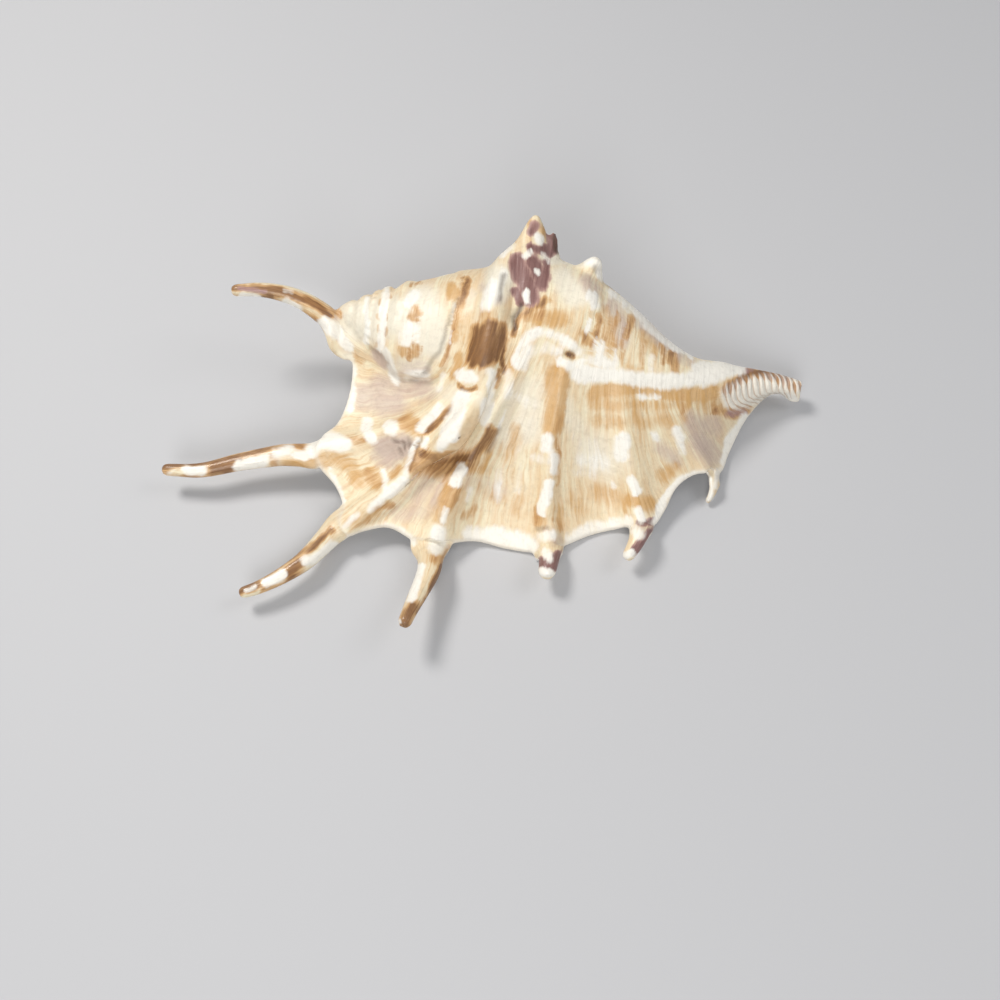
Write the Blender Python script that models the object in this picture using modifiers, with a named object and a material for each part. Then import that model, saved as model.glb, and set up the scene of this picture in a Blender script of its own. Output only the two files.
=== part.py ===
"""Spider conch shell as one solid: coiled body, flared lip with six digits, spire and canal."""
import math

import bmesh
import bpy
import numpy as np

# Millimetres in the shell's own frame: u along the coiling axis from the apex to the canal,
# v to the back, w up. A "line" is a spiral cord, named by the place u where it leaves the coil.
TURN_OF_AXIS = 9.0
WALL = 1.9
EDGE_ROUND = 2.2
LAST_LINE = 126.0
FIRST_LINE = 30.0

# line, axis v, axis w, radius of the coil
COIL = [(30, -5.6, 19.6, 17.2), (37, -5.0, 19.4, 18.4), (43, -3.9, 19.6, 19.4),
        (50, -2.4, 19.9, 20.2), (57, -1.8, 19.6, 20.0), (64, -2.6, 18.8, 19.0),
        (72, -4.2, 17.2, 17.3), (80, -6.6, 15.6, 15.0), (88, -9.4, 13.8, 12.6),
        (96, -9.6, 12.0, 10.2), (103, -6.6, 10.4, 8.3), (108, -4.4, 9.2, 6.8),
        (114, -1.8, 8.0, 5.0), (120, 0.2, 7.2, 3.3), (126, 0.8, 6.6, 2.1)]
# line, then u, v, w of the lip's edge
LIP_EDGE = [(30, 4, -5, 20), (30.6, -0.2, -4.4, 21), (31.4, 1.0, -7.4, 20.2),
            (32.4, 2.6, -11, 18.4), (33.4, 4.3, -15, 15.6), (34.6, 5.0, -20, 13.4),
            (36, 4.8, -26, 12), (37.4, 3.6, -31.8, 11.2), (38.8, 0.8, -36.6, 10.5),
            (40.1, -0.2, -40.5, 9.8), (41.4, 1.4, -44.6, 9), (42.7, 6.6, -49.2, 8.4),
            (43.9, 9.8, -54.4, 7.4), (45.1, 10.0, -59.0, 6.6), (46.4, 11.8, -62.2, 6.4),
            (47.8, 16.4, -59.8, 6.7), (49.6, 22.5, -57.9, 7), (51.4, 29.4, -60.3, 6.5),
            (53.2, 34.5, -61, 6.2), (55.2, 40, -58.8, 5), (57.4, 45.5, -56.6, 3),
            (60, 53, -57.0, 1.8), (62.5, 60.5, -57.0, 2), (64, 64.5, -56.4, 3),
            (65.8, 68.5, -54, 2.5), (69, 74.5, -49.8, 1.6), (72, 80, -47.4, 1.8),
            (74.5, 83.8, -46.6, 3.4), (76, 87, -46.6, 4), (77.7, 90.5, -45.5, 4.2),
            (80, 93, -41, 5), (82.5, 94.6, -36.2, 7), (85, 96.8, -33.2, 8),
            (87, 99.4, -31, 8), (89, 101.8, -29.9, 7.6), (91, 104.2, -29.0, 6.0),
            (93, 106.2, -27.7, 4.4), (95, 107.5, -25.5, 3.2), (98, 108.5, -21.4, 2.5),
            (102, 110, -16.5, 2.6), (106, 112.2, -10.5, 3.2), (110, 114.5, -6.2, 3.6),
            (114, 116.8, -3.0, 4.0), (117.5, 119.2, -0.8, 4.0), (120, 121.4, -0.3, 3.6),
            (123, 123.8, -1.6, 3.0), (126, 126.6, -1.7, 3.0)]
# line, direction in which it meets the edge, pull at the coil and at the edge, lean at the coil
AIM = [(30, -0.5, 0.8, 0.1, 0.40, 0.45, 0), (31.4, -0.8, 0.5, 0.1, 0.60, 0.5, 0),
       (33.4, -1, 0.2, -0.1, 0.50, 0.45, 0), (35.5, -1, -0.05, -0.15, 0.46, 0.4, 0),
       (38, -1, -0.15, -0.15, 0.45, 0.36, 0), (40.5, -0.95, -0.3, -0.15, 0.45, 0.34, 0),
       (43, -0.8, -0.55, -0.18, 0.46, 0.32, 0), (45.5, -0.65, -0.75, -0.2, 0.46, 0.32, 0),
       (48, -0.40, -0.88, -0.2, 0.42, 0.32, -0.02), (52, -0.15, -0.97, -0.22, 0.37, 0.32, -0.08),
       (58, 0.12, -0.95, -0.35, 0.34, 0.30, -0.18), (64, 0.25, -0.93, -0.35, 0.34, 0.28, -0.22),
       (72, 0.28, -0.9, -0.45, 0.34, 0.28, -0.12), (76, 0.3, -0.9, -0.4, 0.34, 0.26, -0.05),
       (79, 0.6, -0.7, -0.4, 0.34, 0.20, 0), (82, 0.8, -0.5, -0.35, 0.34, 0.18, 0),
       (85, 0.5, -0.75, -0.5, 0.34, 0.18, 0), (88, 0.4, -0.8, -0.45, 0.34, 0.18, 0),
       (92, 0.6, -0.7, -0.45, 0.34, 0.18, 0), (97, 0.8, -0.5, -0.4, 0.34, 0.18, 0),
       (108, 0.4, -0.3, -0.85, 0.38, 0.3, 0), (126, 0.1, -0.3, -0.9, 0.4, 0.3, 0)]
# line, angles (from the back, over the top) of the inner lip and of the start of the flare
COIL_ANGLES = [(30, -152, 126), (33, -152, 124), (38, -152, 112), (50, -150, 108),
               (72, -148, 108), (88, -140, 110), (100, -120, 112), (110, -105, 120),
               (126, -100, 130)]
# line, thickness of the flare
FLARE_WALL = [(30, 2.0), (45, 2.2), (60, 2.8), (78, 2.3), (86, 1.7), (91.5, 1.5), (100, 1.7), (126, 1.4)]
# place round the section (0 inner lip, 1 start of flare), share of the radius that is solid
PILLAR = [(0, 0.12), (0.06, 0.21), (0.14, 0.27), (0.22, 0.24), (0.32, 0.16), (0.42, 0.10),
          (0.5, 0.0), (2.0, 0.0)]

# knobs: line, place, half widths across and along, height, sharpness
KNOBS = [(50.5, 0.765, 2.7, 0.030, 8.6, 1.7), (47.6, 0.80, 5.0, 0.075, 5.0, 1.9),
         (64.4, 0.768, 2.8, 0.034, 4.4, 3.0), (63.8, 0.86, 3.0, 0.10, 1.2, 2.0),
         (42.4, 0.93, 3.6, 0.17, 3.2, 2.2), (43.2, 1.14, 3.2, 0.10, 2.6, 2.0),
         (46.4, 1.40, 2.6, 0.15, 3.0, 2.0), (42.6, 1.62, 1.7, 0.07, 1.8, 2.0),
         (48.2, 1.46, 3.2, 0.10, 1.2, 2.0), (51.4, 1.62, 2.8, 0.07, -0.8, 2.0),
         (47.0, 1.66, 2.6, 0.06, -0.7, 2.0),
         (54.3, 0.760, 1.3, 0.018, 4.8, 2.4), (63.9, 1.94, 1.3, 0.07, 1.3, 2.5),
         (76.2, 1.92, 1.5, 0.08, 0.8, 2.2)]
# ridges that run out into the digits: line, start, half width, height at the lip
RIDGES = [(32.0, 1.35, 1.0, 1.2), (40.1, 1.20, 1.4, 2.4), (45.3, 1.35, 1.4, 2.6),
          (53.2, 1.15, 1.7, 2.4), (64.0, 0.95, 1.1, 1.8), (76.1, 1.05, 1.7, 1.6),
          (90.6, 1.2, 1.8, 0.7)]
# valleys: line, start, end, half width, depth
VALLEYS = [(49.8, 1.15, 1.75, 1.9, 1.1), (46.8, 0.8, 1.15, 1.3, 1.2), (36.0, 1.1, 1.8, 1.6, 0.8)]

# digits: first and last line at the lip, path to the tip, radii across, up and at the tip
DIGITS = {
    "posterior": (30.6, 33.4, [(-4.5, -5.6, 21.8), (-10.8, -3.7, 24.3), (-20.5, -4.2, 27.2),
                               (-27.2, -6.0, 28)], 3.6, 3.3, 1.6),
    "fifth": (38.7, 41.4, [(-9.5, -43.0, 9.3), (-19.7, -46.2, 8.5), (-29.6, -50.0, 8),
                           (-38.4, -51.2, 8)], 3.6, 3.0, 1.6),
    "fourth": (43.8, 46.6, [(2.3, -71.4, 6.6), (-4.1, -77.3, 6.5), (-7.2, -79.4, 6.3),
                            (-10.1, -80.9, 6.2)], 3.8, 3.2, 1.5),
    "third": (51.2, 55.1, [(35.2, -68.3, 8), (33.9, -76.1, 10), (33.1, -80.4, 11.4),
                           (32.5, -84.4, 12.6)], 4.0, 3.2, 1.7),
    "second": (62.4, 65.6, [(64.6, -58.6, 5.6), (64.7, -60.8, 6.4), (64.7, -62.6, 6.8),
                            (64.6, -64.0, 7)], 3.6, 3.1, 2.2),
    "first": (74.6, 77.6, [(86.6, -50.0, 7.0), (86.0, -52.4, 7.0), (85.2, -54.4, 6.5),
                           (84.5, -55.8, 6)], 3.4, 2.9, 1.6),
    "lobe": (89.4, 94.0, [(105.0, -31.0, 4.4), (104.8, -33.2, 2.9), (104.0, -35.0, 1.9)],
             2.6, 1.3, 0.8)}
DIGIT_RINGS = 9
BLEND = 7.0

# spire: u, axis v, axis w, radius; keels stand out, sutures draw in
SPIRE = [(-1.4, -3.4, 20.8, 0.5), (0.4, -3.8, 20.8, 2.4), (3.4, -4.3, 20.7, 4.5),
         (4.8, -4.6, 20.6, 5.0), (6.8, -4.9, 20.5, 6.9), (8.8, -5.2, 20.5, 7.6),
         (9.8, -5.3, 20.4, 8.0), (11.6, -5.6, 20.3, 10.2), (13.4, -5.8, 20.2, 10.4),
         (14.8, -6.0, 20.1, 10.9), (17.8, -6.3, 20.0, 13.0), (20, -6.4, 20.0, 13.6),
         (24, -6.4, 19.9, 14.9), (28, -6.0, 19.8, 16.2), (31, -5.6, 19.6, 16.7),
         (34, -5.3, 19.8, 16.7), (37, -5.0, 20.0, 16.4)]
SPIRE_WALL = 2.0
SPIRE_RINGS = 26
SPIRE_SIDES = 30

LINES = [30, 30.6, 31.3, 32.0, 32.7, 33.4, 34.6, 35.8, 37.2, 38.7, 39.6, 40.5, 41.4, 42.6, 43.8,
         44.8, 45.7, 46.6, 48, 49.6, 51.2, 52.5, 53.8, 55.1, 56.8, 58.6, 60.6, 62.4, 63.4, 64.6,
         65.6, 67.6, 70, 72.4, 74.6, 75.6, 76.6, 77.6, 79.6, 82, 84.4, 86.8, 89, 90.5, 92, 94,
         96, 99, 102.5, 106, 110, 114, 118, 122, 126]
PLACES = [0, 0.02, 0.06, 0.13, 0.22, 0.32, 0.42, 0.52, 0.61, 0.69, 0.74, 0.79, 0.85, 0.92, 1.0,
          1.1, 1.2, 1.31, 1.42, 1.53, 1.64, 1.74, 1.83, 1.90, 1.95, 1.98, 2.0]
ROOT_ROWS = 2
FINER = 3

# the joined form is made one skin with this grain and then reduced to this share of its faces
GRAIN = 0.0007
SHARE = 0.052
FOOT = 0.0004


def table(x, rows):
    """Smooth curve through hand placed rows; the first column is the place."""
    rows = np.asarray(rows, float)
    xs, ys = rows[:, 0], rows[:, 1:]
    x = np.asarray(x, float)
    h = np.diff(xs)
    d = np.diff(ys, axis=0) / h[:, None]
    m = np.empty_like(ys)
    m[0] = d[0]
    m[-1] = d[-1]
    m[1:-1] = (d[:-1] * h[1:, None] + d[1:] * h[:-1, None]) / (h[:-1] + h[1:])[:, None]
    i = np.clip(np.searchsorted(xs, x, side="right") - 1, 0, len(xs) - 2)
    t = ((x - xs[i]) / h[i])[..., None]
    step = h[i][..., None]
    return ((2 * t**3 - 3 * t**2 + 1) * ys[i] + (t**3 - 2 * t**2 + t) * step * m[i]
            + (3 * t**2 - 2 * t**3) * ys[i + 1] + (t**3 - t**2) * step * m[i + 1])


def unit(a):
    return a / np.maximum(np.linalg.norm(a, axis=-1, keepdims=True), 1e-9)


def ramp(x, a, b):
    t = np.clip((x - a) / (b - a), 0, 1)
    return t * t * (3 - 2 * t)


def finer(values, parts):
    """The same run of values with each step cut into equal parts."""
    runs = [np.linspace(a, b, parts, endpoint=False) for a, b in zip(values, values[1:])]
    return np.append(np.concatenate(runs), values[-1])


def skin(line, q):
    """Smooth outer form: an arc of the coil up to q = 1, then a curve out to the lip's edge."""
    coil = table(line, COIL)
    edge = table(line, LIP_EDGE)
    aim = table(line, AIM)
    turn = np.radians(table(line, COIL_ANGLES))
    angle = turn[..., 0] + (turn[..., 1] - turn[..., 0]) * np.clip(q, 0, 1)
    r = coil[..., 2]
    arc = np.stack([line, coil[..., 0] + r * np.cos(angle), coil[..., 1] + r * np.sin(angle)], -1)
    top = turn[..., 1]
    p0 = np.stack([line, coil[..., 0] + r * np.cos(top), coil[..., 1] + r * np.sin(top)], -1)
    along = np.stack([aim[..., 5], -np.sin(top), np.cos(top)], -1)
    chord = np.linalg.norm(edge - p0, axis=-1, keepdims=True)
    p1 = p0 + along * chord * aim[..., 3:4]
    p2 = edge - unit(aim[..., :3]) * chord * aim[..., 4:5]
    t = np.clip(q - 1, 0, 1)[..., None]
    s = 1 - t
    flare = s**3 * p0 + 3 * s**2 * t * p1 + 3 * s * t**2 * p2 + t**3 * edge
    return np.where((q <= 1)[..., None], arc, flare)


def outward(line, q):
    a = skin(np.minimum(line + 0.25, LAST_LINE), q) - skin(np.maximum(line - 0.25, FIRST_LINE), q)
    b = skin(line, np.clip(q + 0.01, 0, 2)) - skin(line, np.clip(q - 0.01, 0, 2))
    return unit(np.cross(b, a))


def relief(line, q):
    height = np.zeros_like(q)
    for at, place, across, along, size, sharp in KNOBS:
        away = np.sqrt(((line - at) / across) ** 2 + ((q - place) / along) ** 2)
        height = height + size * np.exp(-away ** sharp)
    for at, start, across, size in RIDGES:
        rise = 0.35 * ramp(q, start, start + 0.35) + 0.65 * ramp(q, 1.5, 1.95)
        height = height + size * np.exp(-((line - at) / across) ** 2) * rise
    for at, start, end, across, depth in VALLEYS:
        rise = ramp(q, start, start + 0.2) * (1 - ramp(q, end - 0.2, end))
        height = height - depth * np.exp(-((line - at) / across) ** 2) * rise
    return height


def thickness(line, q):
    r = table(line, COIL)[..., 2]
    wall = np.minimum(WALL, 0.36 * r)
    flare = table(line, FLARE_WALL)[..., 0]
    pillar = r * np.clip(table(q, PILLAR)[..., 0], 0, 0.55)
    return np.maximum(wall + (flare - wall) * ramp(q, 1.1, 1.7), pillar)


def wall_sides(line, q):
    """Outer and inner side of the wall, both rounded off at the inner lip and the lip's edge."""
    n = outward(line, q)
    base = skin(line, q)
    thick = thickness(line, q)
    turn = np.radians(table(line, COIL_ANGLES))
    arc = table(line, COIL)[..., 2] * (turn[..., 1] - turn[..., 0])
    chord = 1.1 * np.linalg.norm(table(line, LIP_EDGE) - skin(line, np.ones_like(q)), axis=-1)
    free = np.where(q < 1, q * arc, (2 - q) * chord)
    x = np.clip(free / np.minimum(np.maximum(thick / 2, 0.3), EDGE_ROUND), 0, 1)
    full = np.sqrt(np.clip(1 - (1 - x) ** 2, 0, 1))
    height = relief(line, q)
    outer = base - n * (thick * (1 - full) / 2)[..., None] + n * height[..., None]
    inner = base - n * (thick * (1 + full) / 2)[..., None]
    follow = np.where(height > 0, 0.35, 0.9) * height * ramp(q, 1.0, 1.4)
    inner = inner + n * follow[..., None]
    return outer, inner


def along_path(points, t):
    points = np.asarray(points, float)
    steps = np.linalg.norm(np.diff(points, axis=0), axis=1)
    run = np.concatenate([[0], np.cumsum(steps)]) / steps.sum()
    return table(np.array([t]), np.column_stack([run, points]))[0]


def frame_at(points, t, side):
    """Directions along the path, across it and up, at the place t of the path."""
    ahead = unit(along_path(points, min(t + 0.01, 1)) - along_path(points, min(t - 0.01, 0.98)))
    across = unit(side - ahead * (side @ ahead))
    up = np.cross(across, ahead)
    if up[2] < 0:
        up = -up
    return ahead, across, up


def grow_digit(verts, faces, rim, inner_point, side, digit):
    """Carry the open rim at the lip out along the path as tapering rings to a blunt tip."""
    base = np.array([verts[k] for k in rim])
    start = base.mean(0)
    points = [tuple(inner_point), tuple(start)] + digit[2]
    steps = np.linalg.norm(np.diff(np.asarray(points), axis=0), axis=1)
    t0 = steps[0] / steps.sum()
    length = steps[1:].sum()
    ahead, across, up = frame_at(points, t0, side)
    rel = base - start
    y, z, a = rel @ across, rel @ up, rel @ ahead
    flat = np.column_stack([y / np.abs(y).max(), z / np.abs(z).max()])
    turned = np.unwrap(np.arctan2(flat[:, 1], flat[:, 0]))
    gone = np.cumsum(np.linalg.norm(np.roll(flat, -1, axis=0) - flat, axis=1))
    share = np.append(0, gone[:-1]) / gone[-1]
    angle = turned[0] + np.sign(turned[-1] - turned[0]) * 2 * math.pi * share
    across_r, up_r, tip_r = digit[3:]
    rings = []
    for k in range(1, DIGIT_RINGS + 1):
        x = k / DIGIT_RINGS
        t = t0 + (1 - t0) * x
        ahead, across, up = frame_at(points, t, side)
        ra = across_r + (tip_r - across_r) * x ** 0.8
        rb = up_r + (tip_r - up_r) * x ** 0.8
        w = ramp(x * length, 0.0, min(BLEND, 0.6 * length))
        yy = y * (1 - w) + ra * np.cos(angle) * w
        zz = z * (1 - w) + rb * np.sin(angle) * w
        ring = along_path(points, t) + np.outer(yy, across) + np.outer(zz, up)
        rings.append(ring + np.outer(a * (1 - w), ahead))
    end = along_path(points, 1.0)
    round_off = np.outer(np.cos(angle), across) + np.outer(np.sin(angle), up)
    rings.append(end + ahead * tip_r * 0.55 + 0.68 * tip_r * round_off)
    last = rim
    for ring in rings:
        now = list(range(len(verts), len(verts) + len(rim)))
        verts.extend(ring.tolist())
        for k in range(len(rim)):
            j = (k + 1) % len(rim)
            faces.append((last[k], now[k], now[j], last[j]))
        last = now
    verts.append((end + ahead * tip_r * 0.75).tolist())
    for k in range(len(rim)):
        faces.append((last[k], len(verts) - 1, last[(k + 1) % len(rim)]))


def body_mesh(lines, places):
    lines = np.asarray(lines, float)
    line, q = np.meshgrid(lines, np.asarray(places, float), indexing="ij")
    outer, inner = wall_sides(line, q)
    m = len(places) - 1
    count = 2 * m
    loops = np.concatenate([outer, inner[:, m - 1:0:-1]], 1)
    loops[..., 2] = np.maximum(loops[..., 2], 0.0)
    verts = loops.reshape(-1, 3).tolist()

    def at(i, j):
        return i * count + j % count

    spans = []
    for digit in DIGITS.values():
        first = int(np.argmin(abs(lines - digit[0])))
        last = int(np.argmin(abs(lines - digit[1])))
        spans.append((first, last, digit))
    faces = []
    for i in range(len(lines) - 1):
        for j in range(count):
            inside = m - ROOT_ROWS <= j < m + ROOT_ROWS
            if inside and any(first <= i < last for first, last, digit in spans):
                continue
            faces.append((at(i, j), at(i, j + 1), at(i + 1, j + 1), at(i + 1, j)))
    for end in (0, len(lines) - 1):
        for j in range(m):
            face = [at(end, j), at(end, j + 1), at(end, count - j - 1), at(end, count - j)]
            face = list(dict.fromkeys(face))
            faces.append(tuple(face[::-1]) if end == 0 else tuple(face))
    for first, last, digit in spans:
        top, low = m - ROOT_ROWS, m + ROOT_ROWS
        rim = [at(i, top) for i in range(first, last)]
        rim += [at(last, j) for j in range(top, low)]
        rim += [at(i, low) for i in range(last, first, -1)]
        rim += [at(first, j) for j in range(low, top, -1)]
        behind = [verts[at(i, j)] for i in range(first, last + 1) for j in (top - 2, low + 2)]
        side = unit(np.array(verts[at(last, m)]) - np.array(verts[at(first, m)]))
        grow_digit(verts, faces, rim, np.mean(behind, axis=0), side, digit)
    return verts, faces


def spire_mesh(rings, sides):
    """Hollow cone of drawn-in whorls, open towards the coil."""
    u = np.linspace(SPIRE[0][0], SPIRE[-1][0], rings)
    form = table(u, SPIRE)
    turn = np.linspace(0, 2 * math.pi, sides, endpoint=False)
    verts = []
    for i in range(rings):
        v, w, r = form[i]
        verts += [(u[i], v + r * math.cos(a), w + r * math.sin(a)) for a in turn]
    hollow = [i for i in range(rings - 1, -1, -1) if form[i][2] > 2.4 * SPIRE_WALL]
    for i in hollow:
        v, w, r = form[i]
        r = (r - SPIRE_WALL) * min(1.0, 0.35 + 0.25 * (i - hollow[-1]))
        verts += [(u[i], v + r * math.cos(a), w + r * math.sin(a)) for a in turn]
    total = rings + len(hollow)
    faces = []
    for i in range(total - 1):
        for j in range(sides):
            k = (j + 1) % sides
            faces.append((i * sides + j, i * sides + k, (i + 1) * sides + k, (i + 1) * sides + j))
    faces.append(tuple(range(sides))[::-1])
    faces.append(tuple(range((total - 1) * sides, total * sides)))
    return verts, faces


def placed(verts):
    """Metres, turned so that the axis lies as the shell rests."""
    turn = math.radians(TURN_OF_AXIS)
    v = np.asarray(verts, float) / 1000
    x = v[:, 0] * math.cos(turn) + v[:, 1] * math.sin(turn)
    y = -v[:, 0] * math.sin(turn) + v[:, 1] * math.cos(turn)
    return np.column_stack([x, y, v[:, 2]])


for old in list(bpy.data.objects):
    bpy.data.objects.remove(old, do_unlink=True)

shell_group = bpy.data.collections.new("spider conch shell")
bpy.context.scene.collection.children.link(shell_group)
tool_group = bpy.data.collections.new("tools")
bpy.context.scene.collection.children.link(tool_group)

body_verts, body_faces = body_mesh(finer(LINES, FINER), finer(PLACES, FINER))
spire_verts, spire_faces = spire_mesh(SPIRE_RINGS, SPIRE_SIDES)
body_points = placed(body_verts)
spire_points = placed(spire_verts)
low = np.minimum(body_points.min(0), spire_points.min(0))
high = np.maximum(body_points.max(0), spire_points.max(0))
shift = np.array([-(low[0] + high[0]) / 2, -(low[1] + high[1]) / 2, -FOOT])

# the coil with its flare and digits, and the spire, overlap where they meet
parts = bmesh.new()
for points, faces in ((body_points, body_faces), (spire_points, spire_faces)):
    corners = [parts.verts.new(p) for p in points + shift]
    for face in faces:
        parts.faces.new([corners[k] for k in face])
bmesh.ops.triangulate(parts, faces=parts.faces)
bmesh.ops.recalc_face_normals(parts, faces=parts.faces)
mesh = bpy.data.meshes.new("shell")
parts.to_mesh(mesh)
parts.free()
shell = bpy.data.objects.new("shell", mesh)
shell_group.objects.link(shell)

one_skin = shell.modifiers.new("one skin", "REMESH")
one_skin.mode = "VOXEL"
one_skin.voxel_size = GRAIN

fewer = shell.modifiers.new("fewer faces", "DECIMATE")
fewer.ratio = SHARE

ground_mesh = bpy.data.meshes.new("ground tool")
ground_form = bmesh.new()
bmesh.ops.create_cube(ground_form, size=0.4)
bmesh.ops.translate(ground_form, verts=ground_form.verts, vec=(0, 0, -0.2))
ground_form.to_mesh(ground_mesh)
ground_form.free()
ground = bpy.data.objects.new("ground tool", ground_mesh)
ground.hide_render = True
ground.display_type = "WIRE"
tool_group.objects.link(ground)

stand = shell.modifiers.new("stand flat", "BOOLEAN")
stand.operation = "DIFFERENCE"
stand.solver = "EXACT"
stand.object = ground

material = bpy.data.materials.new("shell")
material.use_nodes = True
shader = material.node_tree.nodes["Principled BSDF"]
shader.inputs["Base Color"].default_value = (0.72, 0.52, 0.34, 1.0)
shader.inputs["Roughness"].default_value = 0.45
shell.data.materials.append(material)
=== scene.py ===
import math

import bpy
import numpy as np
from mathutils import Matrix, Vector, noise
from mathutils.bvhtree import BVHTree


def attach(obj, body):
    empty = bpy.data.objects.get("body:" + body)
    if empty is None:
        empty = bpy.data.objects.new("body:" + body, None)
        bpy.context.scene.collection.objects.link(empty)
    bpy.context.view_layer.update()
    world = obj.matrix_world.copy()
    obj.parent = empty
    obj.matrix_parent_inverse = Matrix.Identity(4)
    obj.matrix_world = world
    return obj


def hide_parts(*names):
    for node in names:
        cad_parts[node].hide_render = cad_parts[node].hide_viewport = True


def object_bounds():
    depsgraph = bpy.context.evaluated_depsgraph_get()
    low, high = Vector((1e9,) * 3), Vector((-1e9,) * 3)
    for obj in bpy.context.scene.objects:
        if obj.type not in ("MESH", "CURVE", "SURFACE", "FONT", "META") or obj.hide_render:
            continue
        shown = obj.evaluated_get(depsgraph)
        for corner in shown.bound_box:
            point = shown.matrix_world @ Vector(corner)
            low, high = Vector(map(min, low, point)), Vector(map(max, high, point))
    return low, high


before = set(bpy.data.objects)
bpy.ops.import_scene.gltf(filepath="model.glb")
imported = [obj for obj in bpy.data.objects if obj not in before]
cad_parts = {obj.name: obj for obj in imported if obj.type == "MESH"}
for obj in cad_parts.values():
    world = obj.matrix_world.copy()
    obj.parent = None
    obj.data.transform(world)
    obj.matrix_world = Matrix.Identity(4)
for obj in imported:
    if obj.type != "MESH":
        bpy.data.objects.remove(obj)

cad_low, cad_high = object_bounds()
bpy.ops.object.select_all(action="DESELECT")

# Millimetres in the shell's own frame: u along the coiling axis from the apex to the canal,
# v to the back, w up. A "line" is a spiral cord, named by the place u where it leaves the coil.
TURN_OF_AXIS = 9.0
WALL = 1.9
EDGE_ROUND = 2.2
LAST_LINE = 126.0
FIRST_LINE = 30.0

# line, axis v, axis w, radius of the coil
COIL = [(30, -5.6, 19.6, 17.2), (37, -5.0, 19.4, 18.4), (43, -3.9, 19.6, 19.4),
        (50, -2.4, 19.9, 20.2), (57, -1.8, 19.6, 20.0), (64, -2.6, 18.8, 19.0),
        (72, -4.2, 17.2, 17.3), (80, -6.6, 15.6, 15.0), (88, -9.4, 13.8, 12.6),
        (96, -9.6, 12.0, 10.2), (103, -6.6, 10.4, 8.3), (108, -4.4, 9.2, 6.8),
        (114, -1.8, 8.0, 5.0), (120, 0.2, 7.2, 3.3), (126, 0.8, 6.6, 2.1)]
# line, then u, v, w of the lip's edge
LIP_EDGE = [(30, 4, -5, 20), (30.6, -0.2, -4.4, 21), (31.4, 1.0, -7.4, 20.2),
            (32.4, 2.6, -11, 18.4), (33.4, 4.3, -15, 15.6), (34.6, 5.0, -20, 13.4),
            (36, 4.8, -26, 12), (37.4, 3.6, -31.8, 11.2), (38.8, 0.8, -36.6, 10.5),
            (40.1, -0.2, -40.5, 9.8), (41.4, 1.4, -44.6, 9), (42.7, 6.6, -49.2, 8.4),
            (43.9, 9.8, -54.4, 7.4), (45.1, 10.0, -59.0, 6.6), (46.4, 11.8, -62.2, 6.4),
            (47.8, 16.4, -59.8, 6.7), (49.6, 22.5, -57.9, 7), (51.4, 29.4, -60.3, 6.5),
            (53.2, 34.5, -61, 6.2), (55.2, 40, -58.8, 5), (57.4, 45.5, -56.6, 3),
            (60, 53, -57.0, 1.8), (62.5, 60.5, -57.0, 2), (64, 64.5, -56.4, 3),
            (65.8, 68.5, -54, 2.5), (69, 74.5, -49.8, 1.6), (72, 80, -47.4, 1.8),
            (74.5, 83.8, -46.6, 3.4), (76, 87, -46.6, 4), (77.7, 90.5, -45.5, 4.2),
            (80, 93, -41, 5), (82.5, 94.6, -36.2, 7), (85, 96.8, -33.2, 8),
            (87, 99.4, -31, 8), (89, 101.8, -29.9, 7.6), (91, 104.2, -29.0, 6.0),
            (93, 106.2, -27.7, 4.4), (95, 107.5, -25.5, 3.2), (98, 108.5, -21.4, 2.5),
            (102, 110, -16.5, 2.6), (106, 112.2, -10.5, 3.2), (110, 114.5, -6.2, 3.6),
            (114, 116.8, -3.0, 4.0), (117.5, 119.2, -0.8, 4.0), (120, 121.4, -0.3, 3.6),
            (123, 123.8, -1.6, 3.0), (126, 126.6, -1.7, 3.0)]
# line, direction in which it meets the edge, pull at the coil and at the edge, lean at the coil
AIM = [(30, -0.5, 0.8, 0.1, 0.40, 0.45, 0), (31.4, -0.8, 0.5, 0.1, 0.60, 0.5, 0),
       (33.4, -1, 0.2, -0.1, 0.50, 0.45, 0), (35.5, -1, -0.05, -0.15, 0.46, 0.4, 0),
       (38, -1, -0.15, -0.15, 0.45, 0.36, 0), (40.5, -0.95, -0.3, -0.15, 0.45, 0.34, 0),
       (43, -0.8, -0.55, -0.18, 0.46, 0.32, 0), (45.5, -0.65, -0.75, -0.2, 0.46, 0.32, 0),
       (48, -0.40, -0.88, -0.2, 0.42, 0.32, -0.02), (52, -0.15, -0.97, -0.22, 0.37, 0.32, -0.08),
       (58, 0.12, -0.95, -0.35, 0.34, 0.30, -0.18), (64, 0.25, -0.93, -0.35, 0.34, 0.28, -0.22),
       (72, 0.28, -0.9, -0.45, 0.34, 0.28, -0.12), (76, 0.3, -0.9, -0.4, 0.34, 0.26, -0.05),
       (79, 0.6, -0.7, -0.4, 0.34, 0.20, 0), (82, 0.8, -0.5, -0.35, 0.34, 0.18, 0),
       (85, 0.5, -0.75, -0.5, 0.34, 0.18, 0), (88, 0.4, -0.8, -0.45, 0.34, 0.18, 0),
       (92, 0.6, -0.7, -0.45, 0.34, 0.18, 0), (97, 0.8, -0.5, -0.4, 0.34, 0.18, 0),
       (108, 0.4, -0.3, -0.85, 0.38, 0.3, 0), (126, 0.1, -0.3, -0.9, 0.4, 0.3, 0)]
# line, angles (from the back, over the top) of the inner lip and of the start of the flare
COIL_ANGLES = [(30, -152, 126), (33, -152, 124), (38, -152, 112), (50, -150, 108),
               (72, -148, 108), (88, -140, 110), (100, -120, 112), (110, -105, 120),
               (126, -100, 130)]
# line, thickness of the flare
FLARE_WALL = [(30, 2.0), (45, 2.2), (60, 2.8), (78, 2.3), (86, 1.7), (91.5, 1.5), (100, 1.7), (126, 1.4)]
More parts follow.
